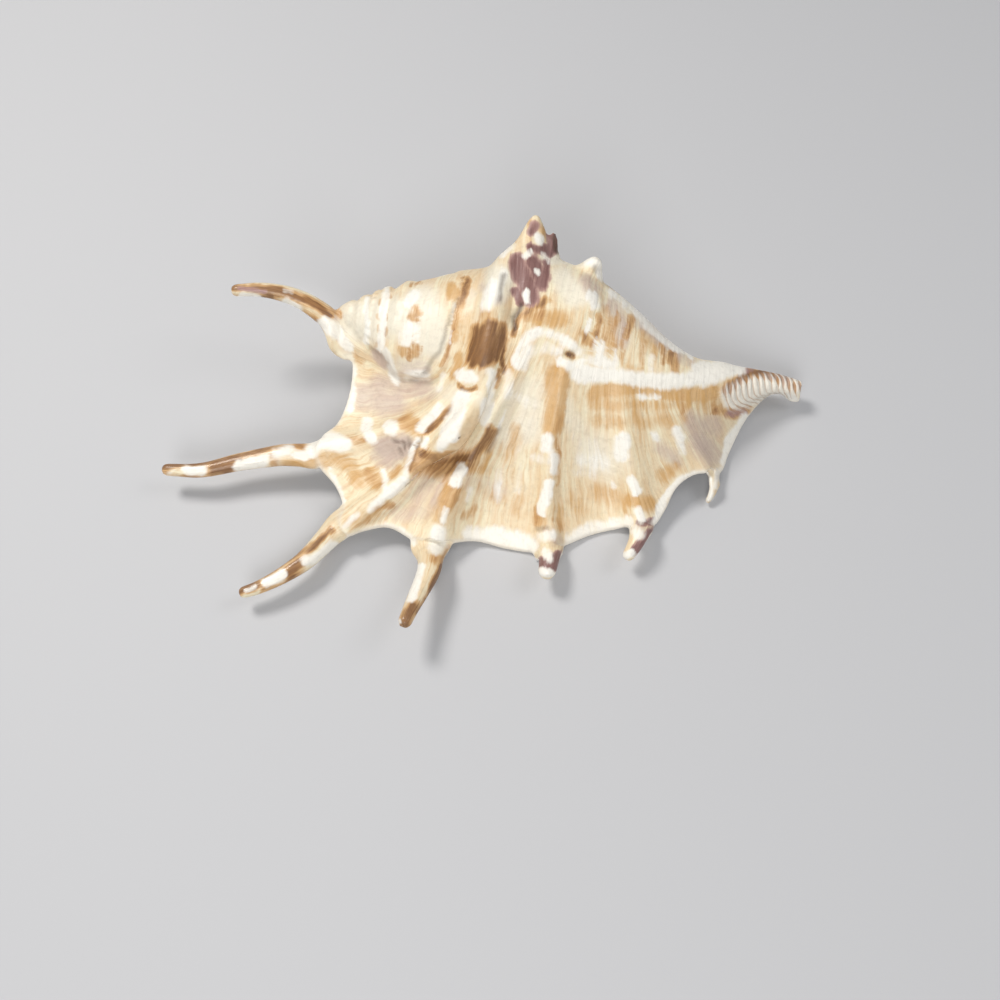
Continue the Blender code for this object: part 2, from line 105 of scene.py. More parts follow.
# place round the section (0 inner lip, 1 start of flare), share of the radius that is solid
PILLAR = [(0, 0.12), (0.06, 0.21), (0.14, 0.27), (0.22, 0.24), (0.32, 0.16), (0.42, 0.10),
          (0.5, 0.0), (2.0, 0.0)]

# knobs: line, place, half widths across and along, height, sharpness
KNOBS = [(50.5, 0.765, 2.7, 0.030, 8.6, 1.7), (47.6, 0.80, 5.0, 0.075, 5.0, 1.9),
         (64.4, 0.768, 2.8, 0.034, 4.4, 3.0), (63.8, 0.86, 3.0, 0.10, 1.2, 2.0),
         (42.4, 0.93, 3.6, 0.17, 3.2, 2.2), (43.2, 1.14, 3.2, 0.10, 2.6, 2.0),
         (46.4, 1.40, 2.6, 0.15, 3.0, 2.0), (42.6, 1.62, 1.7, 0.07, 1.8, 2.0),
         (48.2, 1.46, 3.2, 0.10, 1.2, 2.0), (51.4, 1.62, 2.8, 0.07, -0.8, 2.0),
         (47.0, 1.66, 2.6, 0.06, -0.7, 2.0),
         (54.3, 0.760, 1.3, 0.018, 4.8, 2.4), (63.9, 1.94, 1.3, 0.07, 1.3, 2.5),
         (76.2, 1.92, 1.5, 0.08, 0.8, 2.2)]
# ridges that run out into the digits: line, start, half width, height at the lip
RIDGES = [(32.0, 1.35, 1.0, 1.2), (40.1, 1.20, 1.4, 2.4), (45.3, 1.35, 1.4, 2.6),
          (53.2, 1.15, 1.7, 2.4), (64.0, 0.95, 1.1, 1.8), (76.1, 1.05, 1.7, 1.6),
          (90.6, 1.2, 1.8, 0.7)]
# valleys: line, start, end, half width, depth
VALLEYS = [(49.8, 1.15, 1.75, 1.9, 1.1), (46.8, 0.8, 1.15, 1.3, 1.2), (36.0, 1.1, 1.8, 1.6, 0.8)]

# digits: first and last line at the lip, path to the tip, radii across, up and at the tip
DIGITS = {
    "posterior": (30.6, 33.4, [(-4.5, -5.6, 21.8), (-10.8, -3.7, 24.3), (-20.5, -4.2, 27.2),
                               (-27.2, -6.0, 28)], 3.6, 3.3, 1.6),
    "fifth": (38.7, 41.4, [(-9.5, -43.0, 9.3), (-19.7, -46.2, 8.5), (-29.6, -50.0, 8),
                           (-38.4, -51.2, 8)], 3.6, 3.0, 1.6),
    "fourth": (43.8, 46.6, [(2.3, -71.4, 6.6), (-4.1, -77.3, 6.5), (-7.2, -79.4, 6.3),
                            (-10.1, -80.9, 6.2)], 3.8, 3.2, 1.5),
    "third": (51.2, 55.1, [(35.2, -68.3, 8), (33.9, -76.1, 10), (33.1, -80.4, 11.4),
                           (32.5, -84.4, 12.6)], 4.0, 3.2, 1.7),
    "second": (62.4, 65.6, [(64.6, -58.6, 5.6), (64.7, -60.8, 6.4), (64.7, -62.6, 6.8),
                            (64.6, -64.0, 7)], 3.6, 3.1, 2.2),
    "first": (74.6, 77.6, [(86.6, -50.0, 7.0), (86.0, -52.4, 7.0), (85.2, -54.4, 6.5),
                           (84.5, -55.8, 6)], 3.4, 2.9, 1.6),
    "lobe": (89.4, 94.0, [(105.0, -31.0, 4.4), (104.8, -33.2, 2.9), (104.0, -35.0, 1.9)],
             2.6, 1.3, 0.8)}
BLEND = 7.0

# spire: u, axis v, axis w, radius; keels stand out, sutures draw in
SPIRE = [(-1.4, -3.4, 20.8, 0.5), (0.4, -3.8, 20.8, 2.4), (3.4, -4.3, 20.7, 4.5),
         (4.8, -4.6, 20.6, 5.0), (6.8, -4.9, 20.5, 6.9), (8.8, -5.2, 20.5, 7.6),
         (9.8, -5.3, 20.4, 8.0), (11.6, -5.6, 20.3, 10.2), (13.4, -5.8, 20.2, 10.4),
         (14.8, -6.0, 20.1, 10.9), (17.8, -6.3, 20.0, 13.0), (20, -6.4, 20.0, 13.6),
         (24, -6.4, 19.9, 14.9), (28, -6.0, 19.8, 16.2), (31, -5.6, 19.6, 16.7),
         (34, -5.3, 19.8, 16.7), (37, -5.0, 20.0, 16.4)]
SPIRE_WALL = 2.0

LINES = [30, 30.6, 31.3, 32.0, 32.7, 33.4, 34.6, 35.8, 37.2, 38.7, 39.6, 40.5, 41.4, 42.6, 43.8,
         44.8, 45.7, 46.6, 48, 49.6, 51.2, 52.5, 53.8, 55.1, 56.8, 58.6, 60.6, 62.4, 63.4, 64.6,
         65.6, 67.6, 70, 72.4, 74.6, 75.6, 76.6, 77.6, 79.6, 82, 84.4, 86.8, 89, 90.5, 92, 94,
         96, 99, 102.5, 106, 110, 114, 118, 122, 126]
PLACES = [0, 0.02, 0.06, 0.13, 0.22, 0.32, 0.42, 0.52, 0.61, 0.69, 0.74, 0.79, 0.85, 0.92, 1.0,
          1.1, 1.2, 1.31, 1.42, 1.53, 1.64, 1.74, 1.83, 1.90, 1.95, 1.98, 2.0]

# keels of the spire: u, half width, height, beads round the whorl, turn of the beads
KEELS = [(9.4, 0.9, 1.1, 22, 0.4), (5.4, 0.7, 0.7, 18, 1.0), (16.4, 1.5, 0.8, 12, 0.0),
         (12.6, 0.5, 0.25, 30, 0.0)]
# seams of the spire: u, half width, depth
SEAMS = [(3.9, 0.5, 0.45), (7.7, 0.5, 0.5), (14.0, 0.6, 0.5), (19.8, 0.6, 0.25)]

LINE_PARTS = 4
PLACE_PARTS = 6
ROOT_ROWS = 4
DIGIT_RINGS = 36
SPIRE_RINGS = 150
SPIRE_SIDES = 220
GRAIN = 0.00045
MOST_FACES = 190000
SPIRE_LEAVE = 0.00025
MEETING_BETWEEN = (0.0006, 0.0016)
SEAM_BETWEEN = (0.0004, 0.0010)
DARK_DEPTH = 0.00035
# millimetres: falloff of the rim's glaze on both sides, start and end of the warm depth, width of a digit's
# lines, and the run round the spire
RIM_OUTSIDE = 1.1
RIM_WITHIN = 3.0
DEEP_BETWEEN = (6, 45)
DIGIT_SPACING = 3.2
WHORL_RADIUS = 12.0
WHORL_START = 18.0
# painted outlines: noise scale and reach in the frame, then how a stroke fades towards its side
WANDER = ((160, 3.0), (480, 1.7), (1100, 0.7))
WANDER_SEED = 5
STROKE_FULL = 0.2
STROKE_END = 1.45
STROKE_SOFT = 1.6
SHIFT = np.array([-0.038921, 0.039309, -0.000400])
CAMERA_EYE = (0.003079, -0.135751, 0.262630)
CAMERA_TIP = 64.5
CAMERA_LENS = 39.132
SENSOR = 36.0
FRAME = 1000

# Marks as they are seen from the camera, in its frame of 1000 by 1000: strength, half width, then the x and y
# of each point of the path. Some strokes are painted shade, shadow and highlight, as noted where they stand.
MARKS = {
    # white blotches of the shell; on the crests of the ridges and on the knobs they are also painted
    # highlights
    "white": [
        (0.8, 3, 367, 297, 366, 318, 367, 340), (0.9, 4, 388, 287, 385, 300, 382, 316, 380, 346),
        (1, 5.5, 416, 294, 408, 304), (1, 6, 407, 328, 406, 340), (0.7, 3, 416, 328, 417, 340),
        # the first stroke here, on the crest at the foot of the spire, is partly painted highlight
        (0.9, 5, 386, 352, 391, 366, 397, 382), (0.6, 6, 408, 376, 424, 376),
        (0.6, 2.4, 454, 304, 451, 322, 449, 342), (0.7, 5, 444, 376, 438, 388),
        # the first two strokes here, on the crown of the tall knob, are partly painted highlight
        (0.8, 9, 494, 286, 486, 306), (0.6, 6, 504, 270, 500, 290), (0.5, 4, 478, 312, 476, 322),
        (1, 6.5, 461, 377, 473, 377), (0.8, 5, 491, 374, 491, 396), (1, 7, 488, 402, 486, 421),
        (0.5, 6, 507, 374, 508, 396), (0.6, 2.5, 503, 410, 500, 426),
        (1, 5.5, 441, 407, 431, 417, 421, 427), (1, 8.5, 463, 398, 457, 414, 449, 434),
        (0.8, 5, 446, 440, 441, 450), (0.8, 3, 428, 440, 425, 447), (0.9, 3.6, 530, 252, 526, 256),
        (0.9, 3.2, 536, 271, 537, 275), (0.85, 3.6, 526, 293, 526, 300), (0.9, 4, 536, 237, 541, 241),
        (0.6, 3, 543, 254, 548, 262), (0.6, 4, 512, 246, 500, 255),
        (0.72, 5.5, 517, 364, 519, 349, 528, 338, 543, 332, 558, 336, 570, 343, 580, 351),
        (0.6, 8, 532, 352, 548, 346, 556, 350), (0.6, 7, 528, 350, 526, 366),
        (0.9, 6, 561, 362, 574, 367, 584, 361),
        (1, 9, 580, 374, 602, 375, 625, 377, 652, 381, 680, 381, 702, 378, 722, 372, 738, 366),
        (0.7, 6, 594, 360, 612, 364), (0.8, 5, 600, 344, 598, 358), (0.7, 4, 618, 352, 616, 366),
        (0.6, 4, 650, 356, 650, 370), (1, 9, 698, 370, 718, 366, 736, 362), (0.8, 6, 706, 382, 724, 376),
        (0.9, 7, 592, 297, 593, 305), (0.8, 7, 590, 262, 601, 264, 604, 274),
        (0.9, 3.4, 588, 321, 587, 332), (0.75, 5, 610, 291, 640, 315, 664, 338, 690, 357),
        (0.8, 3.4, 640, 398, 658, 396), (1, 6.5, 547, 438, 547, 448), (0.8, 4.5, 552, 456, 554, 472),
        (0.5, 7, 536, 458, 556, 462), (1, 4, 549, 484, 546, 498, 542, 513), (1, 8, 621, 440, 622, 455),
        (0.65, 12, 584, 461, 604, 464), (0.5, 8, 576, 474, 592, 474), (0.4, 9, 575, 440, 592, 444),
        (0.9, 4.5, 653, 433, 657, 439), (0.9, 6, 678, 429, 681, 437), (0.7, 5.5, 680, 446, 682, 452),
        (1, 4.5, 631, 480, 636, 490), (0.6, 3, 611, 484, 614, 488), (0.45, 9, 520, 398, 535, 404),
        (1, 6, 368, 424, 366, 430, 371, 439), (1, 7.5, 390, 427, 394, 428), (1, 9, 326, 441, 343, 444),
        (0.75, 3.4, 419, 440, 413, 453, 408, 467, 403, 479), (0.95, 6.5, 402, 482, 390, 494),
        (0.8, 4.6, 388, 496, 369, 509), (0.8, 4, 382, 472, 386, 488), (1, 6, 460, 468, 455, 482),
        (0.7, 3.4, 447, 508, 443, 520), (1, 10, 437, 533, 436, 546),
        (1, 4.6, 421, 568, 415, 584, 410, 598), (0.7, 2.4, 398, 620, 399, 622),
        (0.7, 4, 356, 514, 346, 527), (1, 6.6, 334, 546, 320, 554, 307, 561), (1, 5.6, 282, 575, 266, 582),
        (0.6, 2.2, 254, 586, 246, 591), (0.9, 5.5, 298, 454, 304, 455), (0.8, 8, 320, 441, 312, 450),
        (0.8, 7, 289, 449, 276, 455), (1, 7, 262, 461, 240, 466), (0.95, 4.6, 202, 470, 184, 470),
        (0.6, 3, 172, 470, 169, 471), (1, 4.6, 243, 295, 256, 298), (1, 6.5, 286, 304, 298, 310),
        (1, 8.5, 324, 324, 336, 332), (0.9, 6, 340, 334, 348, 346), (0.5, 3, 292, 291, 284, 291),
        (0.85, 10, 470, 533, 498, 537, 530, 545), (0.85, 9, 572, 540, 594, 528, 626, 524),
        (1, 5, 656, 522, 664, 502, 674, 487, 686, 479, 699, 475, 707, 481, 709, 497),
        (1, 7, 745, 420, 736, 432, 729, 446, 724, 462), (0.7, 4, 718, 470, 714, 488),
        (0.9, 6.5, 638, 511, 641, 518), (0.7, 7, 636, 530, 640, 535), (1, 5, 624, 557, 630, 554),
        (0.7, 7, 542, 538, 550, 535), (0.9, 6, 546, 552, 549, 557), (1, 5, 541, 572, 549, 573),
        (1, 7, 784, 398, 794, 402), (0.9, 6, 352, 368, 351, 392, 348, 410),
        (0.8, 4, 331, 472, 338, 488, 342, 500), (0.6, 4, 388, 526, 402, 531, 412, 541),
        (0.7, 4, 470, 488, 468, 500), (0.5, 5, 500, 470, 498, 500), (0.5, 5, 520, 450, 518, 490)],
    "brown": [
        (0.5, 2.6, 380, 301, 380, 304), (0.5, 2.6, 379, 316, 379, 319), (0.5, 2.6, 378, 327, 378, 331),
        (0.5, 2.6, 388, 295, 390, 297), (0.45, 2.6, 386, 316, 386, 320), (0.5, 2.6, 385, 331, 385, 335),
        (0.5, 2.6, 378, 342, 378, 345), (0.6, 5.5, 417, 308, 411, 318), (0.55, 2.4, 420, 306, 418, 320),
        (0.5, 4, 405, 347, 405, 354), (0.5, 4, 417, 346, 416, 354), (0.6, 1.2, 411, 334, 411, 360),
        (0.5, 2.2, 412, 284, 420, 281), (0.5, 2.2, 427, 277, 430, 277), (0.4, 3, 330, 316, 336, 312),
        (0.75, 4, 467, 282, 463, 295, 459, 306), (0.6, 3, 458, 310, 455, 330, 447, 350, 440, 364),
        (0.95, 8, 478, 332, 476, 348, 475, 362), (1, 8, 484, 330, 482, 362),
        (0.55, 13, 487, 318, 484, 352), (1.05, 10, 491, 326, 489, 344, 488, 358),
        (0.9, 6, 502, 328, 500, 342, 498, 358), (0.8, 2.4, 504, 350, 502, 372),
        (0.8, 2.4, 459, 385, 465, 391, 476, 387), (0.7, 2, 498, 372, 496, 388),
        # the two strokes on this line, down the groove beside the tall knob, are dark colour with painted
        # shadow on it
        (0.75, 4, 546, 300, 530, 308, 519, 320, 512, 334), (0.45, 6, 524, 318, 544, 312),
        (0.85, 3.6, 453, 408, 441, 420, 428, 431), (0.5, 5, 418, 420, 406, 426),
        # both strokes here, the wide one on the next line and the first on the line after: mostly painted
        # shadow under the bulge, on some real brown
        (0.9, 6.5, 492, 430, 484, 445, 474, 456), (0.8, 7, 472, 457, 455, 460, 438, 460, 424, 455),
        (1, 3, 568, 353, 574, 355), (0.65, 13, 414, 466, 446, 468, 470, 460),
        (0.8, 2.8, 420, 446, 415, 458, 411, 470), (0.65, 4, 596, 316, 600, 322, 596, 334),
        (0.65, 4, 583, 332, 588, 343, 596, 340), (0.4, 5, 606, 306, 604, 338),
        (0.5, 3.4, 618, 312, 613, 344), (0.65, 4, 632, 314, 628, 338), (0.5, 3.4, 624, 342, 621, 362),
        (0.65, 5, 671, 356, 675, 371), (0.45, 3.4, 643, 342, 640, 362), (0.45, 3.4, 662, 344, 664, 362),
        (0.5, 2, 682, 388, 683, 412), (0.35, 5, 568, 372, 562, 398, 558, 430),
        (0.45, 2, 557, 438, 559, 462, 556, 486),
        (0.95, 6, 729, 388, 738, 379, 752, 371, 768, 373, 786, 380), (0.75, 4.4, 790, 384, 802, 388),
        (0.6, 5, 718, 410, 732, 415, 746, 411), (0.5, 2, 712, 398, 714, 414), (0.5, 2, 720, 396, 723, 412),
        (0.6, 4.4, 374, 508, 392, 505), (0.45, 6, 366, 518, 352, 524), (0.45, 6, 352, 440, 362, 440),
        (0.5, 6, 404, 420, 416, 426), (0.5, 6, 368, 474, 378, 483), (0.45, 4, 392, 474, 397, 469),
        (0.5, 6, 456, 488, 449, 504), (0.45, 6, 476, 508, 466, 516), (0.5, 5, 540, 512, 537, 524),
        (0.45, 4, 554, 518, 560, 530), (0.55, 5.5, 432, 558, 442, 561),
        (1, 5, 442, 568, 436, 584, 429, 600, 419, 614), (1, 7, 412, 608, 404, 622),
        (0.45, 5, 444, 548, 446, 562), (0.95, 9, 300, 564, 290, 574),
        (0.85, 3.6, 332, 530, 308, 548, 286, 561, 258, 577, 240, 590), (0.85, 4, 258, 584, 248, 590),
        (0.75, 3, 262, 589, 284, 584, 302, 578), (0.9, 5, 250, 584, 240, 592),
        (0.95, 9, 230, 467, 213, 469), (0.95, 3.8, 240, 459, 215, 463, 180, 463, 164, 466),
        (0.8, 3.2, 292, 446, 262, 451, 240, 457), (0.8, 4.4, 166, 468, 161, 468),
        (0.45, 5, 272, 452, 274, 464), (0.6, 2.6, 212, 477, 182, 477), (0.7, 6, 298, 444, 303, 446),
        (0.4, 3, 262, 472, 290, 468), (1, 4.4, 232, 286, 250, 286, 272, 289, 296, 296, 318, 306, 330, 316),
        (0.95, 6, 266, 291, 270, 301), (0.7, 3, 268, 304, 290, 315, 308, 326),
        (0.85, 6, 262, 298, 278, 305), (0.75, 4, 268, 292, 286, 296),
        (0.55, 6, 298, 297, 316, 303, 326, 309), (0.75, 4, 308, 318, 322, 326),
        (0.5, 4, 330, 308, 340, 315), (0.6, 2.6, 332, 326, 338, 338), (0.5, 4, 355, 356, 362, 362),
        (0.5, 2.4, 349, 438, 370, 441)],
    "amber": [
        (0.95, 8, 553, 372, 552, 400, 550, 430), (0.9, 6, 565, 372, 561, 400, 558, 426),
        (0.95, 8, 594, 394, 618, 390, 645, 390, 672, 393, 700, 396, 716, 392),
        (0.6, 7, 592, 404, 620, 405, 650, 405, 686, 406), (0.51, 9, 596, 420, 640, 422, 680, 420),
        (0.55, 8, 642, 332, 652, 350), (0.8, 9, 562, 318, 536, 318), (0.51, 6, 514, 350, 510, 370),
        (0.59, 7, 534, 226, 544, 232), (0.59, 9, 612, 322, 612, 346), (0.51, 6, 626, 366, 640, 370),
        (0.9, 7, 450, 288, 454, 294), (0.9, 5.5, 457, 356, 455, 376), (0.8, 5, 461, 306, 455, 340),
        (0.9, 10, 408, 422, 420, 426), (0.8, 9, 370, 474, 378, 484), (0.8, 5, 392, 476, 398, 468),
        (0.8, 9, 336, 458, 352, 466, 358, 480), (0.8, 8, 450, 486, 446, 506),
        (0.59, 8, 438, 518, 440, 512), (0.59, 9, 350, 522, 376, 510),
        (0.59, 8, 330, 460, 304, 464, 288, 466), (0.9, 7, 298, 444, 303, 446),
        (0.59, 8, 540, 514, 540, 524), (0.51, 6, 556, 508, 560, 524), (0.8, 9, 630, 498, 648, 504),
        (0.8, 8, 664, 476, 674, 470), (0.51, 12, 598, 492, 620, 502), (0.51, 12, 700, 398, 716, 404),
        (0.8, 7, 296, 300, 320, 306), (0.9, 7, 304, 314, 316, 322), (0.8, 8, 302, 564, 288, 574),
        (0.8, 8, 434, 558, 446, 564), (0.59, 8, 232, 464, 212, 468), (0.42, 10, 500, 446, 516, 476),
        (0.51, 8, 486, 452, 482, 468), (0.42, 8, 480, 488, 500, 500), (0.51, 8, 516, 430, 512, 452),
        (0.51, 8, 472, 316, 470, 362), (0.42, 10, 524, 500, 520, 514), (0.42, 9, 572, 500, 584, 512),
        (0.8, 4, 412, 302, 420, 312), (0.59, 5, 405, 348, 405, 354), (0.59, 5, 417, 347, 416, 354)],
    "wine": [
        (1, 9, 518, 262, 524, 280, 530, 296), (1, 8, 534, 262, 540, 284),
        (0.95, 5, 549, 252, 555, 244, 554, 236), (0.8, 4, 530, 246, 540, 250, 546, 248),
        (0.7, 5, 530, 232, 534, 226), (0.8, 4, 545, 262, 546, 280), (0.9, 4, 514, 290, 520, 302),
        (0.8, 4, 640, 522, 653, 522), (1, 6.5, 650, 534, 646, 544, 636, 550),
        (0.95, 5, 558, 556, 554, 566, 542, 563), (0.6, 3, 240, 286, 262, 291),
        (0.35, 4, 740, 368, 752, 368), (0.3, 4, 728, 415, 744, 412)],
    "lilac": [
        (0.75, 22, 366, 398, 392, 400), (0.7, 18, 380, 388, 420, 388), (0.95, 15, 386, 448, 404, 448),
        (0.6, 12, 392, 462, 380, 456), (0.5, 14, 426, 484, 416, 498), (0.5, 11, 444, 478, 438, 506),
        # the first stroke here is painted shade on the slope by the notch; the first on the next line is
        # painted shade in the trough under the spire
        (0.7, 16, 698, 438, 712, 456), (0.6, 14, 690, 424, 712, 428), (0.7, 10, 588, 282, 592, 290),
        (0.8, 7, 376, 354, 384, 364), (0.5, 8, 484, 290, 500, 300), (0.7, 11, 612, 304, 624, 340),
        (0.7, 14, 646, 322, 676, 346), (0.4, 12, 470, 482, 500, 492), (0.5, 12, 420, 512, 400, 514),
        (0.5, 8, 668, 350, 690, 364), (0.6, 9, 660, 446, 676, 464), (0.5, 10, 400, 372, 424, 370),
        (0.6, 6, 322, 310, 336, 316), (0.6, 5, 270, 454, 276, 462), (0.5, 8, 544, 530, 556, 540),
        # the last stroke here is partly painted shadow under the bulge on the wing
        (0.5, 7, 642, 524, 640, 544), (0.6, 8, 428, 462, 440, 474)],
    "pale": [
        (0.95, 26, 360, 320, 392, 318), (0.95, 24, 422, 306, 430, 340), (0.6, 12, 400, 366, 424, 364),
        # the first stroke here, over the crown of the tall knob, is partly painted highlight
        (0.9, 16, 494, 290, 500, 276), (0.5, 8, 470, 296, 470, 310), (0.8, 16, 562, 278, 574, 296),
        (0.5, 12, 440, 392, 480, 398), (0.6, 20, 530, 390, 528, 430), (0.6, 26, 590, 450, 610, 462),
        (0.5, 12, 615, 296, 650, 322), (0.4, 12, 350, 390, 352, 372), (0.8, 8, 548, 258, 586, 262),
        (0.5, 16, 500, 440, 508, 400), (0.5, 14, 560, 400, 580, 430)],
    # dark lines in the grooves, along the suture and in the pits: mostly painted shade; they also sink the
    # surface
    "shade_in_hollows": [
        (0.5, 1.6, 458, 298, 452, 313, 446, 330, 440, 346, 432, 360, 424, 374),
        (0.3, 2, 424, 375, 414, 380, 402, 380, 390, 370, 381, 356, 371, 347), (0.7, 3, 568, 353, 573, 355),
        (1, 2.4, 514, 328, 515, 316, 521, 306), (0.7, 1.6, 403, 443, 406, 447),
        (0.6, 1.5, 409, 441, 411, 446), (0.5, 1.5, 399, 449, 402, 453), (0.6, 1.6, 394, 440, 397, 443),
        (0.5, 2.4, 597, 268, 599, 270), (0.6, 1.6, 505, 274, 500, 298), (0.5, 1.6, 500, 428, 488, 453),
        (0.5, 1.4, 536, 531, 546, 528), (0.6, 2, 418, 446, 423, 440), (0.9, 2, 556, 236, 557, 250)],
    "banding": [
        (1, 16, 736, 396, 748, 391, 768, 388, 788, 384)]}

# Forms too small for the tables above, laid on along the marks: height in millimetres, half width, path.
LAID_ON = [
    (-0.45, 3.5, 568, 353, 574, 355), (0.3, 11.7, 586, 369, 602, 372, 640, 376, 680, 378, 720, 370),
    (0.42, 9.1, 461, 377, 473, 377), (0.48, 11.7, 463, 398, 456, 416, 448, 438),
    (0.36, 7.8, 441, 407, 421, 428), (0.36, 9.1, 488, 402, 486, 421), (0.36, 9.1, 390, 427, 394, 428),
    (0.36, 7.8, 368, 424, 371, 439), (0.3, 10.4, 326, 441, 343, 444), (-0.42, 6.5, 453, 409, 428, 431),
    (-0.48, 7.8, 482, 450, 460, 461, 424, 457),
    (0.42, 7.8, 419, 440, 409, 466, 402, 483, 386, 495, 368, 509),
    (0.3, 7.8, 460, 467, 455, 483, 446, 508), (0.36, 6.5, 547, 436, 550, 470, 545, 514),
    (0.3, 7.8, 620, 438, 631, 480, 638, 506), (0.42, 7.8, 386, 352, 391, 366, 397, 382),
    (-0.3, 7.8, 375, 354, 383, 364), (-0.3, 5.2, 597, 267, 599, 270), (0.54, 9.1, 592, 297, 593, 305),
    (0.24, 5.2, 678, 429, 681, 437), (-0.24, 5.2, 476, 393, 482, 380),
    (-0.36, 5.2, 515, 326, 517, 312, 522, 304), (0.3, 7.8, 496, 282, 486, 306),
    (0.24, 5.2, 526, 293, 527, 300), (-0.3, 5.2, 552, 232, 549, 246), (-0.21, 5.2, 340, 330, 334, 340),
    (0.24, 6.5, 680, 446, 682, 452), (-0.3, 9.1, 404, 446, 398, 452)]


def table(x, rows):
    """Smooth curve through the given rows; the first column is the place."""
    rows = np.asarray(rows, float)
    xs, ys = rows[:, 0], rows[:, 1:]
    x = np.asarray(x, float)
    h = np.diff(xs)
    d = np.diff(ys, axis=0) / h[:, None]
    m = np.empty_like(ys)
    m[0] = d[0]
    m[-1] = d[-1]
    m[1:-1] = (d[:-1] * h[1:, None] + d[1:] * h[:-1, None]) / (h[:-1] + h[1:])[:, None]
    i = np.clip(np.searchsorted(xs, x, side="right") - 1, 0, len(xs) - 2)
    t = ((x - xs[i]) / h[i])[..., None]
    step = h[i][..., None]
    return ((2 * t**3 - 3 * t**2 + 1) * ys[i] + (t**3 - 2 * t**2 + t) * step * m[i]
            + (3 * t**2 - 2 * t**3) * ys[i + 1] + (t**3 - t**2) * step * m[i + 1])


def unit(a):
    return a / np.maximum(np.linalg.norm(a, axis=-1, keepdims=True), 1e-9)


def ramp(x, a, b):
    t = np.clip((x - a) / (b - a), 0, 1)
    return t * t * (3 - 2 * t)


def finer(values, parts):
    """The same run of values with each step cut into equal parts."""
    runs = [np.linspace(a, b, parts, endpoint=False) for a, b in zip(values, values[1:])]
    return np.append(np.concatenate(runs), values[-1])


def skin(line, q):
    """Smooth outer form: an arc of the coil up to q = 1, then a curve out to the lip's edge."""
    coil = table(line, COIL)
    edge = table(line, LIP_EDGE)
    aim = table(line, AIM)
    turn = np.radians(table(line, COIL_ANGLES))
    angle = turn[..., 0] + (turn[..., 1] - turn[..., 0]) * np.clip(q, 0, 1)
    r = coil[..., 2]
    arc = np.stack([line, coil[..., 0] + r * np.cos(angle), coil[..., 1] + r * np.sin(angle)], -1)
    top = turn[..., 1]
    p0 = np.stack([line, coil[..., 0] + r * np.cos(top), coil[..., 1] + r * np.sin(top)], -1)
    along = np.stack([aim[..., 5], -np.sin(top), np.cos(top)], -1)
    chord = np.linalg.norm(edge - p0, axis=-1, keepdims=True)
    p1 = p0 + along * chord * aim[..., 3:4]
    p2 = edge - unit(aim[..., :3]) * chord * aim[..., 4:5]
    t = np.clip(q - 1, 0, 1)[..., None]
    s = 1 - t
    flare = s**3 * p0 + 3 * s**2 * t * p1 + 3 * s * t**2 * p2 + t**3 * edge
    return np.where((q <= 1)[..., None], arc, flare)


def outward(line, q):
    a = skin(np.minimum(line + 0.25, LAST_LINE), q) - skin(np.maximum(line - 0.25, FIRST_LINE), q)
    b = skin(line, np.clip(q + 0.01, 0, 2)) - skin(line, np.clip(q - 0.01, 0, 2))
    return unit(np.cross(b, a))


def relief(line, q):
    height = np.zeros_like(q)
    for at, place, across, along, size, sharp in KNOBS:
        away = np.sqrt(((line - at) / across) ** 2 + ((q - place) / along) ** 2)
        height = height + size * np.exp(-away ** sharp)
    for at, start, across, size in RIDGES:
        rise = 0.35 * ramp(q, start, start + 0.35) + 0.65 * ramp(q, 1.5, 1.95)
        height = height + size * np.exp(-((line - at) / across) ** 2) * rise
    for at, start, end, across, depth in VALLEYS:
        rise = ramp(q, start, start + 0.2) * (1 - ramp(q, end - 0.2, end))
        height = height - depth * np.exp(-((line - at) / across) ** 2) * rise
    return height


def thickness(line, q):
    r = table(line, COIL)[..., 2]
    wall = np.minimum(WALL, 0.36 * r)
    flare = table(line, FLARE_WALL)[..., 0]
    pillar = r * np.clip(table(q, PILLAR)[..., 0], 0, 0.55)
    return np.maximum(wall + (flare - wall) * ramp(q, 1.1, 1.7), pillar)


def wall_sides(line, q):
    """Outer and inner side of the wall, both rounded off at the inner lip and the lip's edge."""
    n = outward(line, q)
    base = skin(line, q)
    thick = thickness(line, q)
    turn = np.radians(table(line, COIL_ANGLES))
    arc = table(line, COIL)[..., 2] * (turn[..., 1] - turn[..., 0])
    chord = 1.1 * np.linalg.norm(table(line, LIP_EDGE) - skin(line, np.ones_like(q)), axis=-1)
    free = np.where(q < 1, q * arc, (2 - q) * chord)
    x = np.clip(free / np.minimum(np.maximum(thick / 2, 0.3), EDGE_ROUND), 0, 1)
    full = np.sqrt(np.clip(1 - (1 - x) ** 2, 0, 1))
    height = relief(line, q)
    outer = base - n * (thick * (1 - full) / 2)[..., None] + n * height[..., None]
    inner = base - n * (thick * (1 + full) / 2)[..., None]
    follow = np.where(height > 0, 0.35, 0.9) * height * ramp(q, 1.0, 1.4)
    inner = inner + n * follow[..., None]
    return outer, inner


def along_path(points, t):
    points = np.asarray(points, float)
    steps = np.linalg.norm(np.diff(points, axis=0), axis=1)
    run = np.concatenate([[0], np.cumsum(steps)]) / steps.sum()
    return table(np.array([t]), np.column_stack([run, points]))[0]


def frame_at(points, t, side):
    """Directions along the path, across it and up, at the place t of the path."""
    ahead = unit(along_path(points, min(t + 0.01, 1)) - along_path(points, min(t - 0.01, 0.98)))
    across = unit(side - ahead * (side @ ahead))
    up = np.cross(across, ahead)
    if up[2] < 0:
        up = -up
    return ahead, across, up


